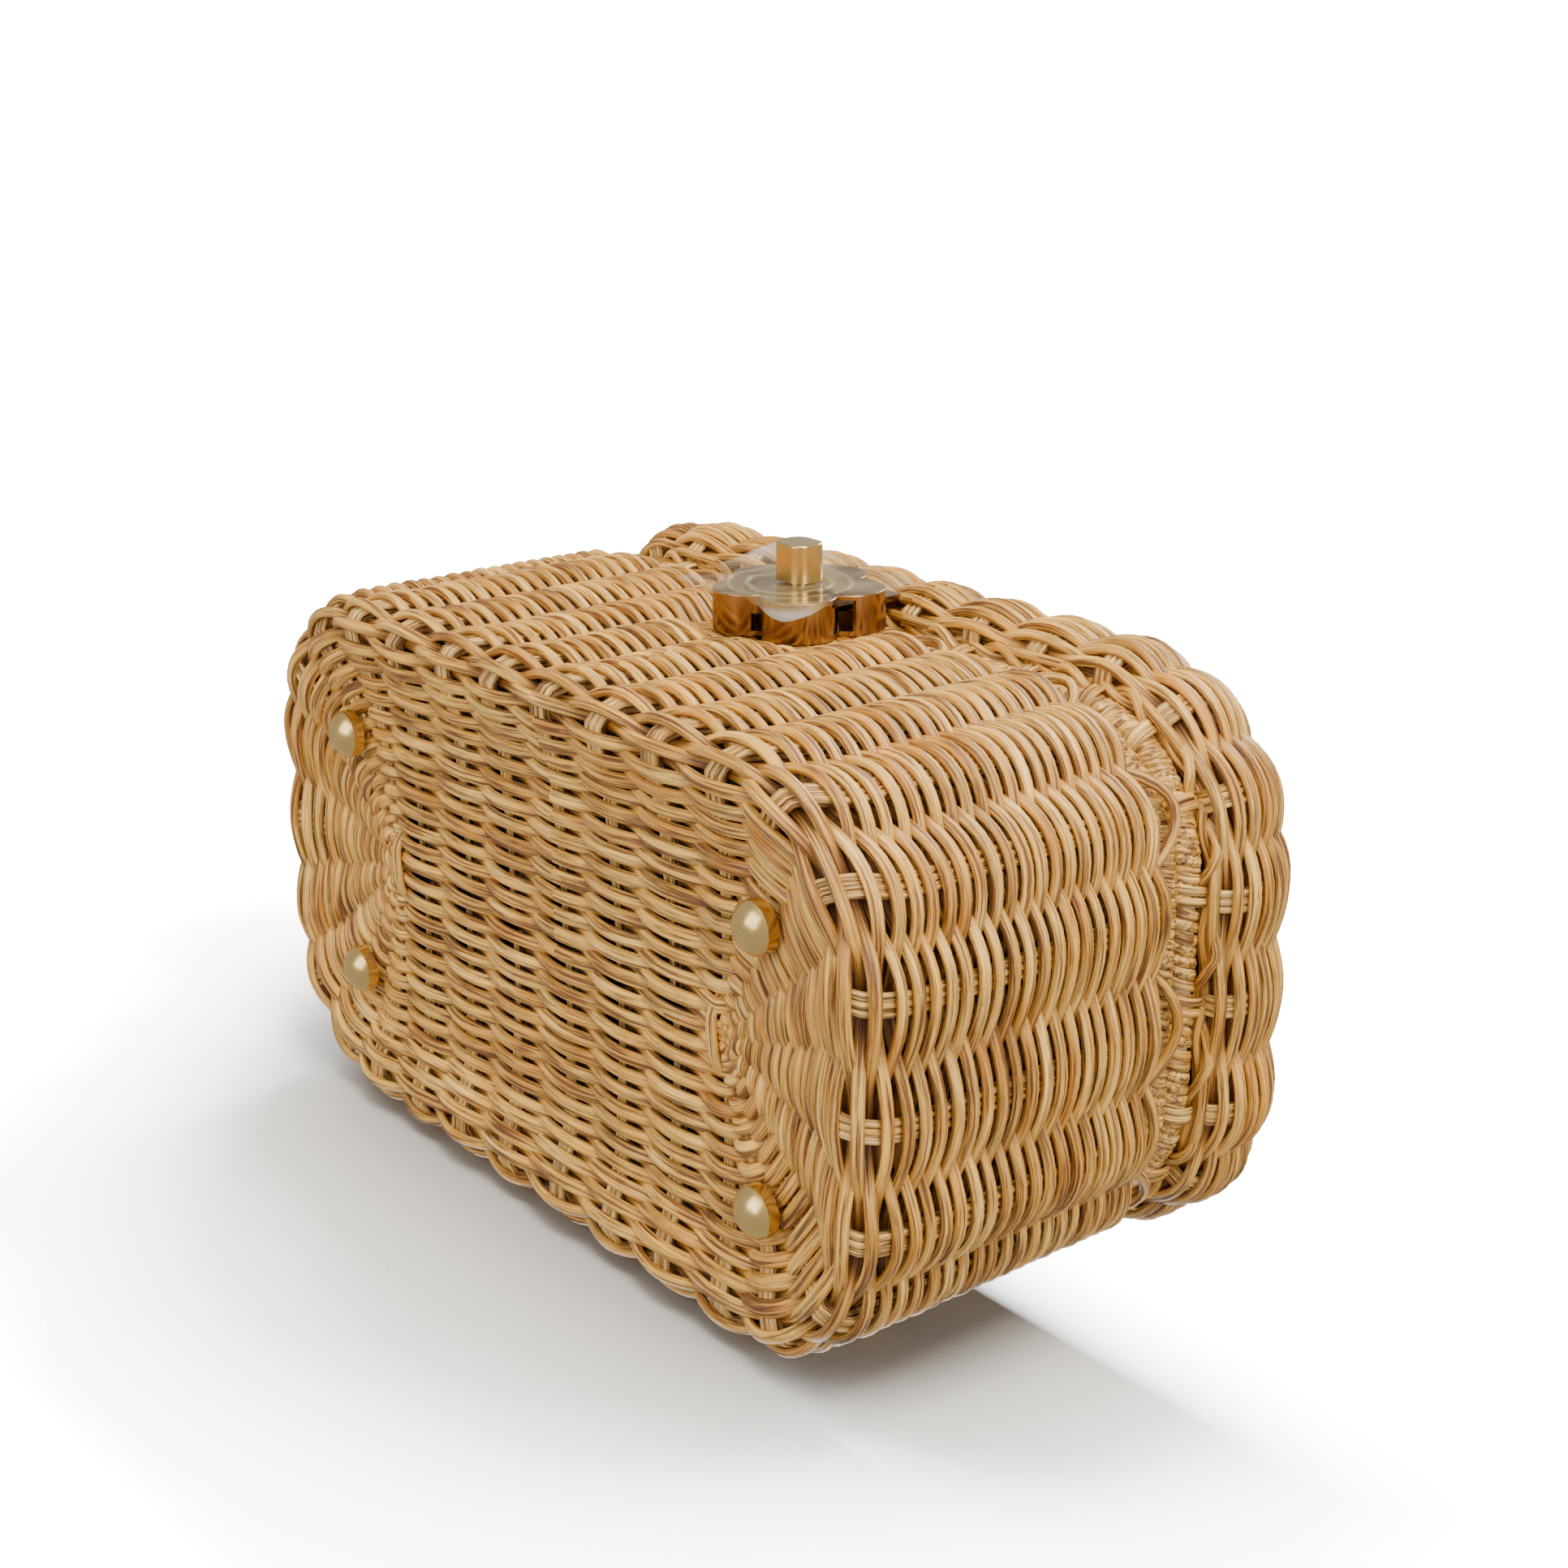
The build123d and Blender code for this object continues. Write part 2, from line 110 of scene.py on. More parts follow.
print("basket half sizes", basket_half.round(1), "lid half sizes", lid_half.round(1))

# %% [markdown]
# ## The plan of the weave
#
# A basket maker starts at the bottom, with stakes that cross the base, fan out at its two
# ends and then turn up into the walls. Every row of weaving goes once round. So any point
# of the weave is given by two lengths: how far round the box it is, and how far in from
# the outline. Near the outline a row is simply the outline moved inwards. Further in, on
# the flat base, rows run straight between two fan centres and turn round them in half
# circles, and that is what the blend towards the nearest point between the two fan
# centres does. One formula then serves base, walls and lid.


# %% A rounded outline, by length along it
class Outline:
    """A rounded rectangle, walked counter-clockwise from the middle of its front side."""

    def __init__(self, half, corner, flat_from):
        self.half, self.flat_from = half, flat_from
        a, b = half[0] - corner, half[1] - corner
        rows = [(0.0, -half[1], 0.0, -1.0)]
        for x, y, start in ((a, -b, -90), (a, b, 0), (-a, b, 90), (-a, -b, 180)):
            for turn in np.radians(np.linspace(start, start + 90, 25)):
                rows.append(
                    (x + corner * math.cos(turn), y + corner * math.sin(turn), math.cos(turn), math.sin(turn))
                )
        rows.append(rows[0])
        self.rows = np.array(rows)
        steps = np.hypot(*np.diff(self.rows[:, :2], axis=0).T)
        self.at = np.concatenate([[0], np.cumsum(steps)])
        self.length = self.at[-1]

    def edge(self, along):
        """Points on the outline and the directions that face out of it."""
        along = np.mod(along, self.length)
        x, y, nx, ny = (np.interp(along, self.at, column) for column in self.rows.T)
        size = np.hypot(nx, ny)
        return np.stack([x, y], -1), np.stack([nx / size, ny / size], -1)

    def plan(self, along, inset):
        """Points that lie inset from the outline, and the outward directions."""
        point, out = self.edge(along)
        inset = np.broadcast_to(inset, along.shape)[..., None]
        rim = point - out * np.minimum(inset, self.flat_from)
        hub = np.stack([np.clip(rim[..., 0], -FAN_CENTRE, FAN_CENTRE), np.zeros_like(along)], -1)
        share = np.clip((inset - self.flat_from) / (self.half[1] - self.flat_from), 0, 1)
        return rim + (hub - rim) * share, out

    def crowding(self, along):
        """How close rows lie on the flat part, against their spacing on the long sides."""
        point, out = self.edge(along)
        rim = point - out * self.flat_from
        hub = np.stack([np.clip(rim[..., 0], -FAN_CENTRE, FAN_CENTRE), np.zeros_like(along)], -1)
        return np.linalg.norm(rim - hub, axis=-1) / (self.half[1] - self.flat_from)


basket_outline = Outline(basket_half, BASKET_CORNER, BASKET_FLAT_FROM)
lid_outline = Outline(lid_half, LID_CORNER, LID_FLAT_FROM)
print("a row round the basket is", round(basket_outline.length, 1), "mm long")

# %% [markdown]
# ## The section of the weave
#
# Cut through the wall and the middle of the weave draws one line: along the base, round
# the bottom edge, up the wall and over the top. Each row of weaving is then one place on
# that line. The line is kept as a list of lengths, so that a row can be asked for by the
# distance along it, with the direction that faces out of the basket there.


# %% A section line, by length along it
def arc(centre_inset, centre_z, wide, high, start, end, count=13):
    """Points of part of an ellipse, as (inset, height)."""
    turn = np.radians(np.linspace(start, end, count))
    return [(centre_inset - wide * math.cos(t), centre_z + high * math.sin(t)) for t in turn]


class Section:
    """The middle line of a wall, from its first (inset, height) point to its last."""

    def __init__(self, points):
        self.points = np.array(points)
        steps = np.hypot(*np.diff(self.points, axis=0).T)
        self.at = np.concatenate([[0], np.cumsum(steps)])
        self.length = self.at[-1]

    def place(self, along):
        """Inset and height at a length along the line."""
        return tuple(np.interp(along, self.at, column) for column in self.points.T)

    def facing(self, along, reach=0.7):
        """The outward direction there, as (outwards, upwards)."""
        (inset_a, z_a), (inset_b, z_b) = self.place(along - reach), self.place(along + reach)
        out, up = z_b - z_a, inset_b - inset_a
        size = np.hypot(out, up) + 1e-9
        return out / size, up / size

    def where(self, test):
        """The first length at which test(inset, height) holds."""
        return next(a for a, p in zip(self.at, self.points) if test(*p))


MIDDLE = WALL / 2 + 0.05
edge_z = basket_low[2] + 3.0
base_z = edge_z + BASE_RECESS
basket_top = basket_high[2]
basket_section = Section(
    [(basket_half[1] - 0.1, base_z), (24.0, base_z), (20.0, base_z - 0.4)]
    + [(16.0, edge_z + 2.2), (12.0, edge_z + 0.7)]
    + arc(8.0, basket_low[2] + 8.0, 8.0 - MIDDLE, 8.0 - 3.0, -90, 0)
    + arc(6.7, basket_top - 6.7, 2.65, 2.65, 0, 90, 7)
    + [(9.0, basket_top - 3.9)]
)
LID_MIDDLE = 3.8
lid_section = Section(
    [(11.6, lid_low[2] + 1.9), (8.8, lid_low[2] + 1.1)]
    + arc(7.0, lid_low[2] + 9.2, 7.0 - LID_MIDDLE, 8.2, -75, 0)
    + arc(13.0, lid_high[2] - 13.0, 13.0 - LID_MIDDLE, 9.6, 0, 90)
    + [(lid_half[1] - 0.3, lid_high[2] - 3.4)]
)
for name, section in (("basket", basket_section), ("lid", lid_section)):
    print("the section of the", name, "is", round(section.length, 1), "mm")

# %% [markdown]
# ## Strands
#
# A strand of rattan is a long, slightly flattened rod. In Blender it could be a bevelled
# curve, but one basket has more than a hundred rings of it, each weaving in and out, and a
# curve has no say in how wide and how thick it is at each point. Here each strand is
# lofted directly: at every point of its middle line a small oval is set square to it, and
# neighbouring ovals are joined. The same step unrolls the strand, so that the grain of
# the material can run along it, and keeps two numbers: the strand's own tone, and how
# deep it lies in the weave.


# %% A helper for new objects
def put_in_scene(name, data):
    """A new object in the scene that holds this mesh, lamp or camera."""
    made = bpy.data.objects.new(name, data)
    bpy.context.scene.collection.objects.link(made)
    return made


# %% Lofting strands into one piece
class Strands:
    """Gathers strands, then makes them one piece."""

    def __init__(self):
        self.points, self.faces, self.caps = [], [], []
        self.uv, self.cap_uv, self.tone, self.depth = [], [], [], []
        self.count = 0

    def add(self, middle, facing, wide, thick, closed, tone, depth=0.0, sides=SIDES):
        """One strand along middle, its flat side towards facing. Sizes in millimetres."""
        count = len(middle)
        if closed:
            ahead, behind = np.roll(middle, -1, 0), np.roll(middle, 1, 0)
        else:
            ahead = np.vstack([middle[1:], 2 * middle[-1:] - middle[-2:-1]])
            behind = np.vstack([2 * middle[:1] - middle[1:2], middle[:-1]])
        run = ahead - behind
        run /= np.linalg.norm(run, axis=1, keepdims=True) + 1e-12
        up = facing - run * np.sum(facing * run, 1, keepdims=True)
        up /= np.linalg.norm(up, axis=1, keepdims=True) + 1e-12
        side = np.cross(run, up)
        turn = np.linspace(0, 2 * math.pi, sides, endpoint=False) - math.pi / 2
        wide = np.broadcast_to(wide, (count,))[:, None, None] / 2
        thick = np.broadcast_to(thick, (count,))[:, None, None] / 2
        ring = (
            middle[:, None, :]
            + side[:, None, :] * np.cos(turn)[None, :, None] * wide
            + up[:, None, :] * np.sin(turn)[None, :, None] * thick
        )
        self.points.append(ring.reshape(-1, 3))
        step = np.linalg.norm(np.diff(np.vstack([middle, middle[:1]]), axis=0), axis=1)
        length = np.concatenate([[0], np.cumsum(step)]) / 10
        spans = count if closed else count - 1
        i = np.repeat(np.arange(spans), sides)
        j = np.tile(np.arange(sides), spans)
        i2, j2 = (i + 1) % count, (j + 1) % sides
        corners = np.stack([i * sides + j, i2 * sides + j, i2 * sides + j2, i * sides + j2], 1)
        self.faces.append(corners + self.count)
        u = np.stack([length[i], length[i + 1], length[i + 1], length[i]], 1)
        v = np.stack([j, j, j + 1, j + 1], 1) / sides
        self.uv.append(np.stack([u, v], -1))
        if not closed:
            for cap in (np.arange(sides), np.arange(sides)[::-1] + (count - 1) * sides):
                self.caps.append(cap + self.count)
        self.tone.append(np.repeat(np.broadcast_to(tone, (count,)), sides))
        # The depth number is kept for the material's painted shade, darker where a strand lies deep.
        self.depth.append(np.repeat(np.broadcast_to(depth, (count,)), sides))
        self.count += count * sides

    def make(self, name, body, slot_name, material):
        """Makes the piece, smooth shaded, riding on a body."""
        points = np.vstack(self.points) * MM
        points[:, 1] += centre_y * MM
        quads = np.vstack(self.faces)
        loops = quads.ravel()
        starts = np.arange(len(quads)) * 4
        totals = np.full(len(quads), 4)
        uv = np.vstack([part.reshape(-1, 2) for part in self.uv])
        for cap in self.caps:
            starts = np.append(starts, len(loops))
            totals = np.append(totals, len(cap))
            loops = np.append(loops, cap)
            uv = np.vstack([uv, np.full((len(cap), 2), 0.5)])
        mesh = bpy.data.meshes.new(name)
        mesh.vertices.add(len(points))
        mesh.vertices.foreach_set("co", points.ravel())
        mesh.loops.add(len(loops))
        mesh.loops.foreach_set("vertex_index", loops)
        mesh.polygons.add(len(starts))
        mesh.polygons.foreach_set("loop_start", starts)
        mesh.polygons.foreach_set("loop_total", totals)
        mesh.polygons.foreach_set("use_smooth", np.ones(len(starts), bool))
        mesh.uv_layers.new(name="strand").data.foreach_set("uv", uv.ravel())
        for title, parts in (("tone", self.tone), ("depth", self.depth)):
            mesh.attributes.new(title, "FLOAT", "POINT").data.foreach_set("value", np.concatenate(parts))
        mesh.update(calc_edges=True)
        mesh.validate()
        piece = put_in_scene(name, mesh)
        mesh.materials.append(material)
        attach(piece, body)
        print(name, "has", len(starts) * 2, "triangles")
        return piece


# %% [markdown]
# ## Rattan and cane
#
# Peeled rattan is a pale honey colour with long fine fibres. Varnish gathers in the
# pores, so each strand carries dark hair lines along it, some strands are browner than
# their neighbours, and orange patches come and go along a strand. The fibres are a noise
# that is stretched along the strand's own unrolled length. The tone number shifts it from
# strand to strand. The parts that dive into the weave are painted darker by their depth
# number: painted shade in the weave's recesses. Split cane is the same plant, smoother and glossier.


# %% Wiring a node tree
class Net:
    """A node tree, with short ways to wire it. An input may be a socket or a value."""

    def __init__(self, tree):
        self.nodes, self.link = tree.nodes, tree.links.new
        self.shader = tree.nodes.get("Principled BSDF")

    def node(self, kind):
        """A new shader node of this kind."""
        return self.nodes.new("ShaderNode" + kind)

    def give(self, socket, value):
        """Wires a socket to an input, or sets the input to a value."""
        if isinstance(value, bpy.types.NodeSocket):
            self.link(value, socket)
        else:
            socket.default_value = (*value, 1) if isinstance(value, tuple) else value

    def set(self, node, **values):
        """Gives a node's inputs their values. A name has _ where the input has a space."""
        for title, value in values.items():
            self.give(node.inputs[title.replace("_", " ")], value)

    def maths(self, operation, first, second=0.0):
        """One Math node."""
        node = self.node("Math")
        node.operation = operation
        for socket, value in zip(node.inputs, (first, second)):
            self.give(socket, value)
        return node.outputs[0]

    def ramp(self, source, stops):
        """A colour ramp with the stops (place, colour). A colour may be one grey number."""
        node = self.node("ValToRGB")
        elements = node.color_ramp.elements
        while len(elements) < len(stops):
            elements.new(0.5)
        for element, (place, colour) in zip(elements, stops):
            colour = colour if isinstance(colour, tuple) else (colour,) * 3
            element.position, element.color = place, (*colour, 1)
        self.link(source, node.inputs[0])
        return node.outputs[0]

    def mix(self, share, first, second):
        """One colour Mix node that multiplies."""
        node = self.node("Mix")
        node.data_type, node.blend_type = "RGBA", "MULTIPLY"
        for socket, value in ((0, share), (6, first), (7, second)):
            self.give(node.inputs[socket], value)
        return node.outputs[2]

    def noise(self, vector, scale, detail, rough):
        """One Noise Texture node, its Fac output."""
        node = self.node("TexNoise")
        self.set(node, Vector=vector, Scale=scale, Detail=detail, Roughness=rough)
        return node.outputs["Fac"]

    def relief(self, height, strength, depth):
        """A Bump node on the shader's normal, for relief of this depth in metres."""
        node = self.node("Bump")
        self.set(node, Strength=strength, Distance=depth, Height=height)
        self.set(self.shader, Normal=node.outputs[0])


def new_material(name):
    """A node material, ready to wire."""
    material = bpy.data.materials.new(name)
    material.use_nodes = True
    return material, Net(material.node_tree)


# %% Rattan
def make_strand_material(name, pale, honey, patch, roughness, fibres):
    """Rattan or cane: fibres along the strand, tone from strand to strand, painted shade where it lies deep.
    """
    material, net = new_material(name)
    uv = net.node("UVMap")
    uv.uv_map = "strand"
    split = net.node("SeparateXYZ")
    net.link(uv.outputs[0], split.inputs[0])
    tone = net.node("Attribute")
    tone.attribute_name = "tone"
    depth = net.node("Attribute")
    depth.attribute_name = "depth"

    def strand_vector(lengthwise, across, shift):
        node = net.node("CombineXYZ")
        net.link(net.maths("MULTIPLY", split.outputs[0], lengthwise), node.inputs[0])
        net.link(net.maths("MULTIPLY", split.outputs[1], across), node.inputs[1])
        net.link(net.maths("MULTIPLY", tone.outputs["Fac"], shift), node.inputs[2])
        return node.outputs[0]

    fibre = net.noise(strand_vector(0.5, fibres, 57.0), 1.0, 3.0, 0.65)
    hair = net.noise(strand_vector(0.9, fibres * 2.6, 21.0), 1.0, 2.0, 0.6)
    patches = net.noise(strand_vector(0.45, 0.9, 91.0), 1.0, 2.0, 0.5)
    speck = net.noise(strand_vector(9.0, 8.0, 33.0), 1.0, 2.0, 0.6)
    base = net.ramp(patches, [(0.3, pale), (0.52, honey), (0.72, patch)])
    strand_tone = net.ramp(
        tone.outputs["Fac"], [(0.0, (0.72, 0.64, 0.54)), (0.45, 1), (1.0, (1.14, 1.15, 1.2))]
    )
    base = net.mix(1.0, base, strand_tone)
    lines = net.ramp(
        fibre, [(0.39, (0.24, 0.15, 0.08)), (0.49, (0.94, 0.93, 0.91)), (0.65, (1.46, 1.46, 1.44))]
    )
    base = net.mix(0.95, base, lines)
    hairs = net.ramp(hair, [(0.36, (0.5, 0.38, 0.26)), (0.46, 1), (0.7, 1.15)])
    base = net.mix(0.8, base, hairs)
    pores = net.ramp(speck, [(0.26, (0.55, 0.42, 0.3)), (0.33, 1)])
    base = net.mix(0.7, base, pores)
    # Painted shade: the deeper a part of a strand lies in the weave, the darker its colour.
    painted_recess_shade = net.ramp(depth.outputs["Fac"], [(0.4, 1), (1.0, (0.3, 0.2, 0.12))])
    base = net.mix(1.0, base, painted_recess_shade)
    rough = net.ramp(fibre, [(0.3, roughness + 0.22), (0.65, roughness)])
    net.set(net.shader, Base_Color=base, Roughness=rough, IOR=1.52)
    net.relief(net.maths("ADD", fibre, hair), 0.8, 0.0005)
    return material


rattan = make_strand_material(
    "rattan", (0.80, 0.475, 0.115), (0.69, 0.365, 0.066), (0.54, 0.228, 0.028), 0.29, 10.0
)
stake_rattan = make_strand_material(
    "stake rattan", (0.76, 0.50, 0.17), (0.66, 0.39, 0.105), (0.52, 0.27, 0.05), 0.4, 8.0
)
cane = make_strand_material("cane", (0.80, 0.50, 0.15), (0.68, 0.38, 0.085), (0.50, 0.23, 0.035), 0.25, 8.0)
print("strand materials:", rattan.name, stake_rattan.name, cane.name)

# %% [markdown]
# ## Where the stakes stand
#
# Stakes are set out by eye, so the bays between them are never quite equal. A row passes
# in front of one stake and behind the next. Measured in bays, that is a cosine with half
# a wave for each bay. An even number of bays lets each row close on itself, with the rows
# above and below it the other way round.


# %% Stakes and rows
def set_out_stakes(outline, first):
    """Lengths along the outline at which the stakes stand, wider apart round the ends."""
    walk = np.linspace(first, first + outline.length, 2000)
    _, out = outline.edge(walk)
    bays = np.concatenate([[0], np.cumsum(1 / (1 + 0.2 * np.abs(out[1:, 0])))])
    even = np.interp(np.arange(BAYS), bays * BAYS / bays[-1], walk)
    return even + dice.uniform(-0.8, 0.8, BAYS)


def along_at(outline, stakes, bays, lean=0.0, front=0.0, back=0.0):
    """The length along the outline at a place in bays. Lean moves stakes as they turn down."""
    line = np.append(stakes, stakes[0] + outline.length)
    along = np.interp(np.mod(bays, BAYS), np.arange(BAYS + 1), line)
    _, out = outline.edge(along)
    return along + lean * (front + (back - front) * (out[..., 1] + 1) / 2)


def drift(count, size, waves=(1, 2, 3, 5, 9)):
    """A slow random wander round a closed row."""
    turn = np.linspace(0, 2 * math.pi, count, endpoint=False)
    line = sum(np.sin(turn * w + dice.uniform(0, 6.283)) / math.sqrt(w) for w in waves)
    return line * size / 2.2


basket_stakes = set_out_stakes(basket_outline, 11.8)
lid_stakes = set_out_stakes(lid_outline, 12.0)
on_basket = (basket_outline, basket_section, basket_stakes)
on_lid = (lid_outline, lid_section, lid_stakes)
print("bays are about", round(basket_outline.length / BAYS, 1), "mm wide")


# %% [markdown]
# ## Weaving a row
#
# A row is one closed strand. Its middle line starts on the section line, wanders a little
# up and down, and swings out and in past the stakes. Close to the fan centres of the base
# the stakes stand close together, so the strand is finer and swings less. Behind the
# clasp the maker has pulled the weave flat and inwards, to let the brass plate sit.


# %% One woven row
def smooth_step(value, low, high):
    """0 below low, 1 above high, smooth between them."""
    t = np.clip((value - low) / (high - low), 0, 1)
    return t * t * (3 - 2 * t)


clasp_low, clasp_high = box_mm("clasp_base")
clasp_z = (clasp_low[2] + clasp_high[2]) / 2


def lean_at(section, section_at):
    """1 on the flat part and 0 on the wall, as stakes shift while they are bent."""
    return 1 - smooth_step(section_at, section.flat_end - 3, section.flat_end + 16)


basket_section.flat_end = basket_section.where(lambda inset, z: inset <= BASKET_FLAT_FROM + 0.001)
basket_section.leans = (-6.5, 1.2)
lid_section.flat_end = 0.0
lid_section.leans = (0.0, 0.0)


PRESSED_R, UNPRESSED_R = 17.0, 26.0
PRESSED_SWING, PRESSED_IN = 1.2, 2.4


def press_behind_clasp(middle, facing, size):
    """Flattens the weave behind the clasp plate and moves it inwards."""
    reach = np.hypot(middle[:, 0], middle[:, 2] - clasp_z)
    near = (1 - smooth_step(reach, PRESSED_R, UNPRESSED_R)) * (middle[:, 1] < -basket_half[1] / 2)
    size = size * (1 - near) + np.minimum(size, PRESSED_SWING) * near
    return middle - facing * (PRESSED_IN * near)[:, None], size


def weave_row(
    strands, outline, section, stakes, at, swing, phase, width, flat=0.94, wander=0.22, lift=0.0, push=0.0
):
    """Weaves one closed row. Push and lift move it up where it passes over a stake."""
    count = BAYS * STEPS_PER_BAY
    bays = np.arange(count) / STEPS_PER_BAY
    section_at = at + drift(count, wander) + push * np.cos(math.pi * (bays + phase))
    along = along_at(outline, stakes, bays, lean_at(section, section_at), *section.leans)
    inset, height = section.place(section_at)
    out, up = section.facing(section_at)
    plan, normal = outline.plan(along, inset)
    middle = np.column_stack([plan, height])
    facing = np.column_stack([normal * out[:, None], up])
    facing /= np.linalg.norm(facing, axis=1, keepdims=True)
    step = np.linalg.norm(np.roll(middle, -1, 0) - np.roll(middle, 1, 0), axis=1) / 2
    bay_size = np.convolve(np.tile(step, 3), np.ones(STEPS_PER_BAY), "same")[count : 2 * count]
    wave = np.cos(math.pi * (bays + phase))
    wave = np.sign(wave) * np.abs(wave) ** 0.9
    size = swing * np.clip(bay_size / FULL_BAY, 0.42, 1.0) * (1 + drift(count, 0.07))
    middle, size = press_behind_clasp(middle, facing, size)
    centre = middle + facing * (wave * size)[:, None]
    centre[:, 2] += lift * np.clip((wave + 0.25) / 1.25, 0, 1)
    on_flat = smooth_step(inset, outline.flat_from - 2, outline.flat_from + 2)
    wide = width * (1 + (np.minimum(outline.crowding(along), 1.05) * 1.06 - 1) * on_flat)
    wide = wide * (1 + 0.24 * normal[:, 0] ** 2 * smooth_step(inset, 4.5, 9.0))
    wide = wide * (1 + dice.uniform(-0.08, 0.08)) * (1 + drift(count, 0.06))
    tone = float(np.clip(dice.normal(0.5, 0.2), 0, 1))
    # The depth number rises where the row passes behind a stake, so it is painted darker there as shade.
    strands.add(centre, facing, wide, wide * flat, True, tone, np.clip(0.5 - wave * 0.5, 0, 1))


def border_row(strands, outline, section, stakes, low, high, shift, out, width):
    """A closed strand that arches once in every bay, from low to high along the section."""
    count = BAYS * STEPS_PER_BAY * 2
    bays = np.arange(count) / STEPS_PER_BAY / 2
    arch = 0.5 + 0.5 * np.cos(2 * math.pi * (bays + shift))
    section_at = low + (high - low) * arch * (1 + drift(count, 0.25)) + drift(count, 0.15)
    along = along_at(outline, stakes, bays)
    inset, height = section.place(section_at)
    away, up = section.facing(section_at)
    plan, normal = outline.plan(along, inset)
    facing = np.column_stack([normal * away[:, None], up])
    rise = out + 0.7 * np.sin(2 * math.pi * (bays + shift))
    centre = np.column_stack([plan, height]) + facing * rise[:, None]
    strands.add(centre, facing, width, width * 0.9, True, float(dice.uniform(0.3, 0.8)), 0.2)


def space_rows(start, end, first_pitch, last_pitch):
    """Places of rows from start to end, their spacing changing evenly between two pitches."""
    count = int(round((end - start) / ((first_pitch + last_pitch) / 2)))
    pitches = np.linspace(first_pitch, last_pitch, count)
    places = np.cumsum(pitches) - pitches / 2
    return start + places * (end - start) / pitches.sum()


# %% The base
BASE_SWING, BASE_FLATNESS = 1.55, 0.66
BINDING_REACH = 8.5
edge_start = basket_section.flat_end
base_weave = Strands()
base_places = space_rows(-1.0, edge_start - 0.6, BASE_PITCH, BASE_PITCH)
for row, place in enumerate(base_places):
    weave_row(base_weave, *on_basket, place, BASE_SWING, row % 2, BASE_STRAND, BASE_FLATNESS)
for side in (-1, 1):
    reach_y = np.linspace(-BINDING_REACH, BINDING_REACH, 13)
    arch = np.clip(1 - (reach_y / BINDING_REACH) ** 4, 0, 1)
    across = np.full(13, side * (FAN_CENTRE - 0.5)) + 0.5 * np.sin(reach_y / 4)
    binding = np.column_stack([across, reach_y, base_z + 1.5 - 3.9 * arch])
    base_weave.add(binding, np.tile([0.0, 0.0, -1.0], (13, 1)), 2.7, 1.7, False, 0.62)
base_piece = base_weave.make("base_weave", "basket", "rattan", rattan)
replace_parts(base_piece, "body_weave")

# %% The bottom edge and the walls
EDGE_PITCHES = (1.75, 1.85)
WALL_SWING = 2.4
BORDER_DOWN, BORDER_SWING, BORDER_LIFT = 3.6, 3.1, 4.3
wall_start = basket_section.where(lambda inset, z: inset <= MIDDLE + 0.001)
lower_weave, upper_weave = Strands(), Strands()
edge_places = space_rows(edge_start, wall_start + 0.5, *EDGE_PITCHES)
for row, place in enumerate(edge_places):
    swing, phase = 2.0 + 0.1 * row, len(base_places) + row
    weave_row(lower_weave, *on_basket, place, swing, phase, STRAND + 0.2, 0.85, wander=0.1)
wall_places = space_rows(wall_start + 0.5, basket_section.length - 1.0, WALL_PITCH, TOP_PITCH)
turned_up = len(base_places) + len(edge_places)
for row, place in enumerate(wall_places):
    top_share = smooth_step(row, len(wall_places) - 4, len(wall_places))
    part = lower_weave if row < len(wall_places) / 2 else upper_weave
    swing = WALL_SWING - 0.5 * top_share
    weave_row(part, *on_basket, place, swing, turned_up + row % 2, STRAND, push=0.7)
border_at, phase = basket_section.length - BORDER_DOWN, turned_up + len(wall_places) % 2
weave_row(upper_weave, *on_basket, border_at, BORDER_SWING, phase, STRAND, lift=BORDER_LIFT)
for name, part in (("lower_wall_weave", lower_weave), ("upper_wall_weave", upper_weave)):
    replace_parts(part.make(name, "basket", "rattan", rattan), "body_weave")
print("rows on the base, edge and wall:", len(base_places), len(edge_places), len(wall_places))

# %% The lid
lid_wall_weave, lid_top_weave = Strands(), Strands()
lid_places = space_rows(3.6, lid_section.length, LID_PITCH, LID_PITCH)
top_start = lid_section.where(lambda inset, z: z >= lid_high[2] - 4)
for row, place in enumerate(lid_places):
    swing = 1.5 + 0.8 * smooth_step(place, 4, 12) - 0.5 * smooth_step(place, top_start - 12, top_start)
    part = lid_wall_weave if place < top_start - 1 else lid_top_weave
    weave_row(part, *on_lid, place, swing, row % 2, STRAND, 0.95, push=0.45)
# Low and high along the section, shift in bays, and how far out the strand lies.
LID_BORDER = ((0.9, 1.5, 0.0, 0.2), (1.6, 4.6, 0.5, 1.0), (2.2, 3.2, 0.0, 0.4))
for low, high, shift, out in LID_BORDER:
    border_row(lid_wall_weave, *on_lid, low, high, shift, out, STRAND)
for name, part in (("lid_wall_weave", lid_wall_weave), ("lid_top_weave", lid_top_weave)):
    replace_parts(part.make(name, "lid", "rattan", rattan), "lid_weave")
print(len(lid_places), "rows in the lid")

# %% [markdown]
# ## Stakes
#
# Each stake is a bundle of five finer rods that follows the section line from the middle
# of the base to the rim, three in front and two behind. Where a row dives behind the
# bundle, its front rods show pale between the rows. Only the section line is needed, laid
# at each stake's place.


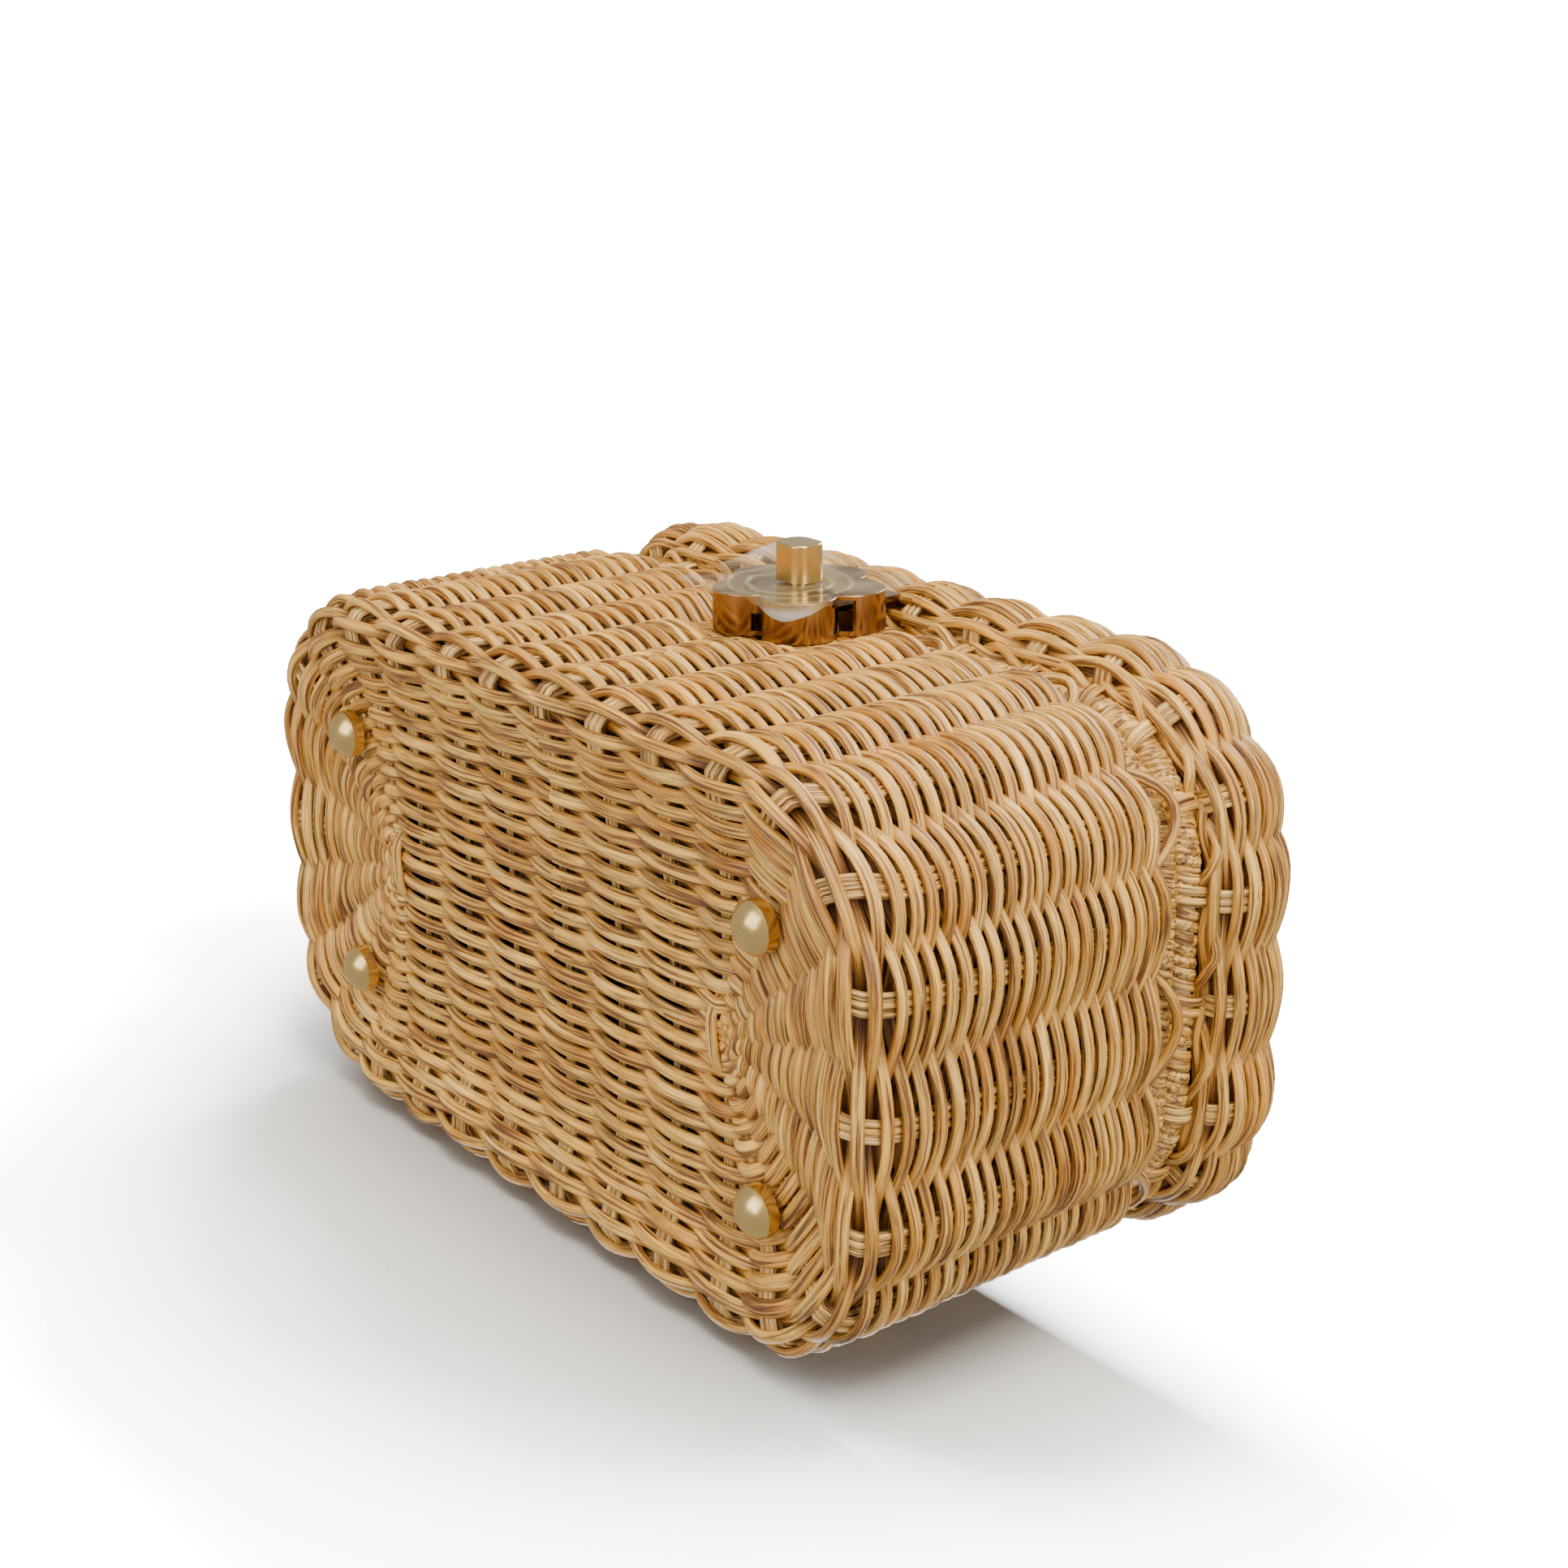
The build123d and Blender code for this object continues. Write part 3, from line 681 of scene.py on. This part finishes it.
# %% Bundles of rods
def add_stakes(strands, outline, section, stakes, start, end, spread=1.55, rise=0.75, rod=1.6):
    """Five rods for each stake, side by side in two layers."""
    lengths = np.linspace(start, end, int((end - start) / 2.6))
    inset, height = section.place(lengths)
    out, up = section.facing(lengths)
    free = 1 - 0.75 * smooth_step(inset, outline.flat_from + 6, outline.half[1] - 8)
    lean = lean_at(section, lengths)
    for stake in range(BAYS):
        along = along_at(outline, stakes, np.full(len(lengths), stake), lean, *section.leans)
        plan, normal = outline.plan(along, inset)
        tangent = np.column_stack([-normal[:, 1], normal[:, 0]])
        facing = np.column_stack([normal * out[:, None], up])
        for layer, sides_of_layer in ((1, (-1, 0, 1)), (-1, (-0.6, 0.6))):
            for side in sides_of_layer:
                slip = spread * side * free + 0.2 * np.sin(lengths / 17 + stake + layer)
                middle = np.column_stack([plan + tangent * slip[:, None], height])
                middle, _ = press_behind_clasp(middle, facing, np.zeros(len(lengths)))
                middle = middle + facing * (rise * layer - 1.3 * (1 - free))[:, None]
                size = rod * (0.45 + 0.55 * free)
                # Back rods get a larger depth number, so they are painted darker as shade.
                strands.add(
                    middle, facing, size, size * 0.95, False,
                    float(np.clip(dice.normal(0.6, 0.15), 0, 1)), 0.15 if layer > 0 else 0.7, 6,
                )


basket_rods, lid_rods = Strands(), Strands()
add_stakes(basket_rods, *on_basket, 2.0, basket_section.length)
add_stakes(lid_rods, *on_lid, 3.0, lid_section.length - 2.0)
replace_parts(basket_rods.make("basket_stakes", "basket", "rattan", stake_rattan), "body_weave")
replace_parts(lid_rods.make("lid_stakes", "lid", "rattan", stake_rattan), "lid_weave")

# %% [markdown]
# ## Wrapped rims
#
# The rim of the basket and the rim of the lid are each a rod bound round and round with
# split cane. It could be a bump on a smooth tube, but the rims are seen edge on at the
# seam, where only real turns look right. So one long flat strand runs round the rod in a
# helix, closed on itself after a whole number of turns, each a little tilted and uneven.


# %% Winding the cane
def wind_rim(strands, outline, inset, height, radius, pitch, tilt):
    """A helix of flat cane round a rod that follows the outline."""
    probe, _ = outline.plan(np.linspace(0, outline.length, 400, endpoint=False), np.full(400, inset))
    length = np.linalg.norm(np.roll(probe, -1, 0) - probe, axis=1).sum()
    turns = int(length / pitch)
    steps = 12
    count = turns * steps
    share = np.arange(count) / count

    def by_turn(values):
        """One value for each turn, passing smoothly from turn to turn."""
        return np.interp(np.arange(count) / steps, np.arange(turns), values, period=turns)

    turn = 2 * math.pi * turns * share
    uneven = by_turn(dice.normal(0, 0.16, turns))
    along = share * outline.length + (uneven + tilt * np.sin(turn)) * outline.length / length
    plan, normal = outline.plan(along, np.full(count, inset))
    radial = np.column_stack([normal * np.cos(turn)[:, None], np.sin(turn)])
    bulge = by_turn(dice.normal(0, 0.07, turns))
    middle = np.column_stack([plan, np.full(count, height)]) + radial * (radius - 0.42 + bulge)[:, None]
    tones = by_turn(dice.uniform(0.15, 0.9, turns))
    strands.add(middle, radial, pitch * 1.12, 0.95, True, tones, 0.0, 6)
    return turns


def rim_place(node, half):
    """Inset, height and radius of a rim, from its solid's box."""
    low, high = box_mm(node)
    radius = (high[2] - low[2]) / 2
    return half[0] - high[0] + radius, (low[2] + high[2]) / 2, radius


basket_rim = rim_place("body_rim_wrap", basket_half)
lid_rim = rim_place("lid_rim_wrap", lid_half)
body_winding, lid_winding = Strands(), Strands()
print("basket rim", wind_rim(body_winding, basket_outline, *basket_rim, 1.9, 0.5), "turns")
print("lid rim", wind_rim(lid_winding, lid_outline, *lid_rim, 2.1, 0.7), "turns")

# %% Binding the lid's stakes to its rim
CLASP_FREE, HINGE_X, HINGE_FREE = 13, 45, 17
LOOP_IN, LOOP_UP = 3.85, 5.15
lid_rim_inset, lid_rim_z, _ = lid_rim
loops = 0
for stake, at in enumerate(lid_stakes):
    point, out = lid_outline.edge(np.array([at]))
    by_hinge = out[0, 1] > 0.5 and abs(abs(point[0, 0]) - HINGE_X) < HINGE_FREE
    if abs(point[0, 0]) < CLASP_FREE or by_hinge:
        continue
    for turn in (-1.1, 1.1):
        angle = np.linspace(0, 2 * math.pi, 20, endpoint=False)
        along = np.full(20, at) + turn + 1.2 * np.sin(angle + stake)
        plan, normal = lid_outline.plan(along, lid_rim_inset - 0.2 - LOOP_IN * np.cos(angle))
        height = lid_rim_z + 1.9 + LOOP_UP * np.sin(angle)
        facing = np.column_stack([normal * np.cos(angle)[:, None], np.sin(angle)])
        tone = float(dice.uniform(0.3, 0.8))
        lid_winding.add(np.column_stack([plan, height]), facing, 2.0, 0.9, True, tone, 0.0, 6)
    loops += 1
print(loops, "stakes bound to the lid rim")
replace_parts(body_winding.make("basket_rim_cane", "basket", "cane_wrap", cane), "body_rim_wrap")
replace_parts(lid_winding.make("lid_rim_cane", "lid", "cane_wrap", cane), "lid_rim_wrap")

# %% [markdown]
# ## Lining
#
# A plain taupe cloth lines the basket and the lid. Each lining is one sewn sheet that is
# stretched against the weave. It follows the same plan as the weave, so a grid of points
# laid by the same two lengths gives the sheet, and Solidify gives it a cloth's thickness.
# The basket's lining is drawn up to its rim all round, except behind the clasp, where
# the lid's forked plate comes down.

# %% Cloth
cloth, net = new_material("lining cloth")
uv = net.node("UVMap")
uv.uv_map = "cloth"
threads = []
for direction in ("X", "Y"):
    wave = net.node("TexWave")
    wave.bands_direction = direction
    net.set(wave, Scale=4.0, Distortion=0.4, Vector=uv.outputs[0])
    threads.append(wave.outputs["Fac"])
weft = net.maths("MULTIPLY", threads[0], threads[1])
slub = net.noise(uv.outputs[0], 0.8, 4.0, 0.6)
tint = net.ramp(slub, [(0.3, (0.115, 0.083, 0.075)), (0.7, (0.19, 0.145, 0.13))])
base = net.mix(0.35, tint, weft)
net.set(net.shader, Base_Color=base, Roughness=0.92, Sheen_Weight=0.25)
net.relief(weft, 0.5, 0.0003)


# %% Sewing a lining
CLOTH_THICKNESS = 0.0006
# The sheet is sewn from a wall strip and a rounded bottom, cut out of a larger rectangle.
# The hem is low this far from the clasp's middle, and at its full height from there on.
HEM_LOW_TO, HEM_HIGH_FROM = 13.0, 19.0


def thicken(piece, thickness):
    """Smooths the one selected sheet, makes it solid and returns the area it had."""
    bpy.ops.object.shade_smooth()
    area = sum(p.area for p in piece.data.polygons)
    thick = piece.modifiers.new("thickness", "SOLIDIFY")
    thick.thickness, thick.offset = thickness, -1
    bpy.ops.object.modifier_apply(modifier=thick.name)
    piece.select_set(False)
    return area


def sew_lining(name, body, outline, points, solid, hem_rise=0.0):
    """A closed-bottomed sheet over the outline, from its hem to its middle."""
    line = Section(points)
    lengths = np.linspace(0, line.length, int(line.length / 2.5))
    rounds = np.linspace(0, outline.length, 192, endpoint=False)
    inset, height = line.place(lengths)
    grid = []
    for d, z in zip(inset, height):
        plan, _ = outline.plan(rounds, np.full(len(rounds), d))
        grid.append(np.column_stack([plan, np.full(len(rounds), z)]))
    grid = np.array(grid)
    grid[..., 1] += centre_y
    from_clasp = np.where(grid[0, :, 1] < centre_y, np.abs(grid[0, :, 0]), basket_half[0])
    grid[0, :, 2] += hem_rise * smooth_step(from_clasp, HEM_LOW_TO, HEM_HIGH_FROM)
    rows, cols = grid.shape[:2]
    faces, uvs = [], []
    for r in range(rows - 1):
        for c in range(cols):
            d = (c + 1) % cols
            face = (r * cols + c, r * cols + d, (r + 1) * cols + d, (r + 1) * cols + c)
            faces.append(face)
            at = (rounds[c] / 10, (rounds[c] + rounds[1]) / 10)
            uvs += [(at[0], lengths[r] / 10), (at[1], lengths[r] / 10)]
            uvs += [(at[1], lengths[r + 1] / 10), (at[0], lengths[r + 1] / 10)]
    mesh = bpy.data.meshes.new(name)
    mesh.from_pydata((grid.reshape(-1, 3) * MM).tolist(), [], faces)
    mesh.uv_layers.new(name="cloth").data.foreach_set("uv", np.array(uvs).ravel())
    piece = put_in_scene(name, mesh)
    bpy.context.view_layer.objects.active = piece
    piece.select_set(True)
    bpy.ops.object.mode_set(mode="EDIT")
    bpy.ops.mesh.select_all(action="SELECT")
    bpy.ops.mesh.remove_doubles(threshold=0.00005)
    bpy.ops.mesh.normals_make_consistent(inside=False)
    bpy.ops.object.mode_set(mode="OBJECT")
    area = thicken(piece, CLOTH_THICKNESS)
    mesh.materials.append(cloth)
    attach(piece, body)
    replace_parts(piece, solid)
    print(name, "is", round(area * 1e4), "square centimetres of cloth")


lining_low, lining_high = box_mm("body_lining")
lid_lining_low, lid_lining_high = box_mm("lid_lining")
side_inset = basket_half[0] - lining_high[0] + 0.1
lid_side_inset = lid_half[0] - lid_lining_high[0] + 0.1
sew_lining(
    "basket_lining", "basket", basket_outline,
    [(side_inset, lining_high[2])]
    + arc(side_inset + 4, lining_low[2] + 4.2, 4, 4, 0, -90, 9)
    + [(basket_half[1], lining_low[2] + 0.2)],
    "body_lining", box_mm("body_rim_wrap")[0][2] + 0.1 - lining_high[2],
)
sew_lining(
    "lid_lining_cloth", "lid", lid_outline,
    [(lid_side_inset, lid_lining_low[2])]
    + arc(lid_side_inset + 4, lid_lining_high[2] - 4.2, 4, 4, 0, 90, 9)
    + [(lid_half[1], lid_lining_high[2] - 0.2)],
    "lid_lining",
)

# %% [markdown]
# ## Brass and steel
#
# The feet and the clasp are brass with a fine brushed skin that hands have worn: the
# metal is a touch redder and duller in patches. The hinge screws and washers are plain
# plated steel. The solids already have the right shape, so they keep it and only take a
# better finish.


# %% Metal finishes
def make_metal(name, bright, dull, roughness, brush):
    """A brushed metal with worn patches."""
    material, net = new_material(name)
    place = net.node("TexCoord")
    stretch = net.node("Mapping")
    stretch.inputs["Scale"].default_value = (1.0, 1.0, 9.0)
    net.link(place.outputs["Object"], stretch.inputs["Vector"])
    hair = net.noise(stretch.outputs[0], brush, 4.0, 0.7)
    wear = net.noise(place.outputs["Object"], 160.0, 4.0, 0.6)
    base = net.ramp(wear, [(0.38, dull), (0.62, bright)])
    rough = net.ramp(hair, [(0.3, roughness + 0.04), (0.7, roughness - 0.03)])
    net.set(net.shader, Base_Color=base, Metallic=1.0, Roughness=rough)
    net.relief(hair, 0.04, 0.00005)
    return material


brass = make_metal("brushed brass", (0.70, 0.49, 0.18), (0.64, 0.43, 0.145), 0.25, 500.0)
case_brass = make_metal("polished brass", (0.38, 0.235, 0.11), (0.325, 0.188, 0.078), 0.2, 90.0)
steel = make_metal("plated steel", (0.62, 0.60, 0.57), (0.50, 0.48, 0.46), 0.35, 700.0)
brass_nodes = [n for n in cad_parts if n.startswith(("foot_front", "foot_rear", "turn_knob", "hinge_"))]
case_nodes = [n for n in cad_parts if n.startswith(("clasp_", "lid_tongue"))]
plain_steel = ("foot_washers", "latch_bar", "spindle_clip", "clasp_backing")
steel_nodes = [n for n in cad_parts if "screws" in n or n in plain_steel]
for names, material in ((case_nodes, case_brass), (brass_nodes, brass), (steel_nodes, steel)):
    for node in names:
        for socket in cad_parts[node].material_slots:
            socket.material = material
print(len(brass_nodes), "brass,", len(case_nodes), "clasp and", len(steel_nodes), "steel nodes finished")

# %% [markdown]
# ## The clear film
#
# A thin protective film still lies on the clasp's face. It is cut a little larger than
# the brass flower and has been handled: one lobe hangs down over the case, one has
# curled up, and there is a tear between two lobes. A sheet this thin could be a cloth
# simulation, but the few folds it has are known, so rings of points are set round the
# knob, out to the lobes' own outline, and each is moved by how far out and which way
# round it is. Solidify gives it a thickness. The rings stamped in the face are drawn in
# the film itself, as haze and relief, because the solid's face is plain.

# %% Film material
# The ramps below take places from 0 to 1, so lengths in metres are scaled up to that.
RINGS_SCALE, OFF_FACE_SCALE = 50.0, 200.0
film_face_y = float(box_mm("protective_film")[0][1] * MM)
film, net = new_material("clear film")
place = net.node("TexCoord")
crease = net.noise(place.outputs["Object"], 90.0, 1.5, 0.5)
split = net.node("SeparateXYZ")
net.link(place.outputs["Object"], split.inputs[0])
across = net.maths("POWER", split.outputs[0], 2.0)
above = net.maths("SUBTRACT", split.outputs[2], float(clasp_z * MM))
above = net.maths("POWER", above, 2.0)
radius = net.maths("SQRT", net.maths("ADD", across, above))
rings = net.ramp(
    net.maths("MULTIPLY", radius, RINGS_SCALE),
    [(0.4, 0), (0.44, 1), (0.49, 0), (0.6, 0), (0.64, 0.8), (0.68, 0)],
)
net.set(net.shader, Roughness=0.2, Specular_IOR_Level=0.25, IOR=1.48)
haze = net.ramp(crease, [(0.45, 0.02), (0.66, 0.22)])
shown = net.maths("ADD", haze, net.maths("MULTIPLY", rings, 0.32))
off_face = net.maths("SUBTRACT", split.outputs[1], film_face_y)
off_face = net.maths("ABSOLUTE", off_face)
off_face = net.maths("MULTIPLY", off_face, OFF_FACE_SCALE)
# Painted light: where the film lies flat at the face its colour is brass, standing in for light from the
# brass beneath shining through it.
tint = net.ramp(off_face, [(0.1, (0.46, 0.36, 0.17)), (0.4, (0.58, 0.57, 0.54))])
off_face = net.ramp(off_face, [(0.1, 0), (0.4, 0.24)])
net.set(net.shader, Base_Color=tint, Alpha=net.maths("ADD", shown, off_face))
net.relief(net.maths("ADD", crease, rings), 0.6, 0.0008)

# %% Cutting and creasing the film
FILM_AROUND, FILM_OUT = 168, 18
FILM_THICKNESS = 0.00012
# Where round the flower, in degrees, the film droops, curls, is torn and stands wide.
DROOP_AT, CURL_AT, TEAR_AT, WIDE_AT, WIDE_TOO_AT = -42, 140, 2, -128, 52
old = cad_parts["protective_film"]
corners = np.array([old.matrix_world @ v.co for v in old.data.vertices]) / MM
corner_r = np.hypot(corners[:, 0], corners[:, 2] - clasp_z)
film_y, film_hole = corners[:, 1].min(), corner_r.min()
outer = corner_r > 0.6 * corner_r.max()
corner_turn = np.arctan2(corners[:, 2] - clasp_z, corners[:, 0])[outer]
order = np.argsort(corner_turn)
turn = np.linspace(-math.pi, math.pi, FILM_AROUND, endpoint=False)
lobes = np.interp(turn, corner_turn[order], corner_r[outer][order], period=2 * math.pi)


def bump_at(degrees, width):
    """1 in one direction round the film, falling to 0 about width degrees away."""
    gap = (np.degrees(turn) - degrees + 180) % 360 - 180
    return np.exp(-((gap / width) ** 2))


droop, curl, tear = bump_at(DROOP_AT, 30), bump_at(CURL_AT, 24), bump_at(TEAR_AT, 7)
spare = 0.6 + 4.2 * bump_at(WIDE_AT, 15) + 2.6 * bump_at(WIDE_TOO_AT, 22)
spare = spare + 1.9 * droop + 1.6 * curl - 8.5 * tear
nicks = dice.normal(0, 0.35, FILM_AROUND // 4)
ragged = np.interp(np.arange(FILM_AROUND), np.arange(0, FILM_AROUND, 4), nicks, period=FILM_AROUND)
film_edge = lobes + spare + ragged

# %% Laying the film
points = []
for share in np.linspace(0, 1, FILM_OUT):
    r = film_hole + 0.1 + (film_edge - film_hole - 0.1) * share
    over = np.clip((r - lobes + 0.4) / 2.6, 0, 1.2)
    ripple = 0.35 * share * (1 + np.sin(3 * turn + 5 * share))
    ripple = ripple + 0.22 * share * (1 + np.sin(7 * turn - 9 * share))
    lifted = ripple * (1 - droop) + 3.4 * curl * share**3 + 1.1 * bump_at(WIDE_AT, 18) * share**4
    y = film_y - 0.05 - lifted + 2.9 * droop * over**1.4
    r = r - 1.2 * droop * over**2
    points.append(np.column_stack([r * np.cos(turn), y, clasp_z + r * np.sin(turn)]))
faces = []
for ring in range(FILM_OUT - 1):
    inner, next_ring = ring * FILM_AROUND, (ring + 1) * FILM_AROUND
    for c in range(FILM_AROUND):
        d = (c + 1) % FILM_AROUND
        faces.append((inner + c, next_ring + c, next_ring + d, inner + d))
mesh = bpy.data.meshes.new("clasp_film")
mesh.from_pydata((np.vstack(points) * MM).tolist(), [], faces)
film_piece = put_in_scene("clasp_film", mesh)
bpy.context.view_layer.objects.active = film_piece
film_piece.select_set(True)
film_area = thicken(film_piece, FILM_THICKNESS)
mesh.materials.append(film)
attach(film_piece, "basket")
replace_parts(film_piece, "protective_film")
print("film of", round(film_area * 1e4, 1), "square centimetres")

# %% [markdown]
# ## Studio
#
# The bag lies on its back on a white sweep, seen from its lower front corner. In the
# part's own frame it stands upright, so the sweep is an upright sheet against its back
# and the camera looks up at its base. A second sheet is the floor it stands on. Each
# shows only its front side and only to the camera, so neither shuts out the light. Both
# are far brighter than paper, to come out pure white, and an Ambient Occlusion node
# darkens them near the bag. The lamps are large soft squares: in front, at the side,
# below, above and behind.


# %% Sweep and floor
STAGE_WHITE = 24.0
SHADOW_REACH = 0.15


def make_sheet(name, corners, fade_from=None, fade_to=None):
    """A white sheet that the camera sees from its front side only."""
    mesh = bpy.data.meshes.new(name)
    mesh.from_pydata(corners, [], [(0, 1, 2, 3)])
    sheet = put_in_scene(name, mesh)
    for ray in ("diffuse", "glossy", "transmission", "shadow", "volume_scatter"):
        setattr(sheet, f"visible_{ray}", False)
    material, net = new_material(name)
    net.nodes.remove(net.shader)
    white = net.node("BsdfDiffuse")
    clear = net.node("BsdfTransparent")
    side = net.node("NewGeometry")
    share = side.outputs["Backfacing"]
    if fade_from is not None:
        place = net.node("TexCoord")
        split = net.node("SeparateXYZ")
        net.link(place.outputs["Object"], split.inputs[0])
        ramp = net.node("MapRange")
        net.set(ramp, From_Min=fade_from, From_Max=fade_to, Value=split.outputs[2])
        share = net.maths("MAXIMUM", share, ramp.outputs[0])
    mix = net.node("MixShader")
    near = net.node("AmbientOcclusion")
    net.set(near, Distance=SHADOW_REACH)
    shade = net.ramp(
        near.outputs["AO"],
        [(0.3, (0.0095, 0.0092, 0.0087)), (0.75, 0.042), (0.97, 0.27), (1.0, 1.0)],
    )
    net.set(white, Color=net.mix(1.0, (STAGE_WHITE,) * 3, shade))
    net.link(share, mix.inputs[0])
    net.link(white.outputs[0], mix.inputs[1])
    net.link(clear.outputs[0], mix.inputs[2])
    net.link(mix.outputs[0], net.nodes["Material Output"].inputs["Surface"])
    mesh.materials.append(material)


back_y = basket_high[1] * MM + 0.0006
seam_z = (box_mm("body_rim_wrap")[1][2] - 1.4) * MM
print("the sweep stands at y", round(back_y, 4), "and fades out below z", round(seam_z, 4))
reach = 1.2
make_sheet(
    "sweep",
    [(-reach, back_y, -reach), (reach, back_y, -reach), (reach, back_y, seam_z), (-reach, back_y, seam_z)],
    seam_z - 0.03, seam_z - 0.002,
)
make_sheet("floor", [(-reach, -reach, 0), (reach, -reach, 0), (reach, reach, 0), (-reach, reach, 0)])

# %% Light
world = bpy.data.worlds.new("studio")
bpy.context.scene.world = world
world.use_nodes = True
net = Net(world.node_tree)
soft = net.nodes["Background"]
net.set(soft, Color=(1.0, 0.99, 0.97), Strength=0.62)
seen = net.node("Background")
net.set(seen, Strength=STAGE_WHITE)
path = net.node("LightPath")
mix = net.node("MixShader")
net.link(path.outputs["Is Camera Ray"], mix.inputs[0])
net.link(soft.outputs[0], mix.inputs[1])
net.link(seen.outputs[0], mix.inputs[2])
net.link(mix.outputs[0], net.nodes["World Output"].inputs["Surface"])

middle = (Vector(cad_box[0]) + Vector(cad_box[1])) / 2


def add_softbox(name, towards, distance, size, power, colour):
    """A square soft light that faces the bag."""
    data = bpy.data.lights.new(name, "AREA")
    data.shape, data.size, data.energy = "SQUARE", size, power
    data.color = colour
    lamp = put_in_scene(name, data)
    direction = Vector(towards).normalized()
    lamp.location = middle + direction * distance
    lamp.rotation_mode = "QUATERNION"
    lamp.rotation_quaternion = direction.to_track_quat("Z", "Y")
    print(name, "at", [round(v, 2) for v in lamp.location])


WARM, NEUTRAL = (1.0, 0.95, 0.82), (1, 1, 1)
add_softbox("key", (0.35, -1.0, -0.05), 1.0, 0.6, 13.0, WARM)
add_softbox("side", (1.0, -0.35, -0.1), 1.2, 0.6, 8.8, NEUTRAL)
add_softbox("low", (0.1, -0.5, -1.0), 1.2, 0.9, 9.5, NEUTRAL)
add_softbox("top", (-0.2, -0.5, 1.0), 1.2, 0.6, 12.0, NEUTRAL)
add_softbox("back", (-0.6, 1.0, 0.45), 1.2, 0.8, 8.0, NEUTRAL)

# %% Camera
CAMERA_AT = (0.3741, -0.17725, -0.2328)
CAMERA_AHEAD, CAMERA_RIGHT = (-0.7387, 0.3191, 0.5938), (0.6265, 0.0, 0.7794)
camera_data = bpy.data.cameras.new("camera")
camera_data.sensor_width, camera_data.lens = 36.0, 54.67
camera = put_in_scene("camera", camera_data)
ahead = Vector(CAMERA_AHEAD).normalized()
right = Vector(CAMERA_RIGHT)
right = (right - ahead * right.dot(ahead)).normalized()
up = right.cross(ahead)
turned = Matrix((right, up, -ahead)).transposed()
camera.matrix_world = Matrix.Translation(CAMERA_AT) @ turned.to_4x4()
camera_data.clip_start, camera_data.clip_end = 0.01, 20.0
bpy.context.scene.camera = camera
print("camera at", CAMERA_AT)
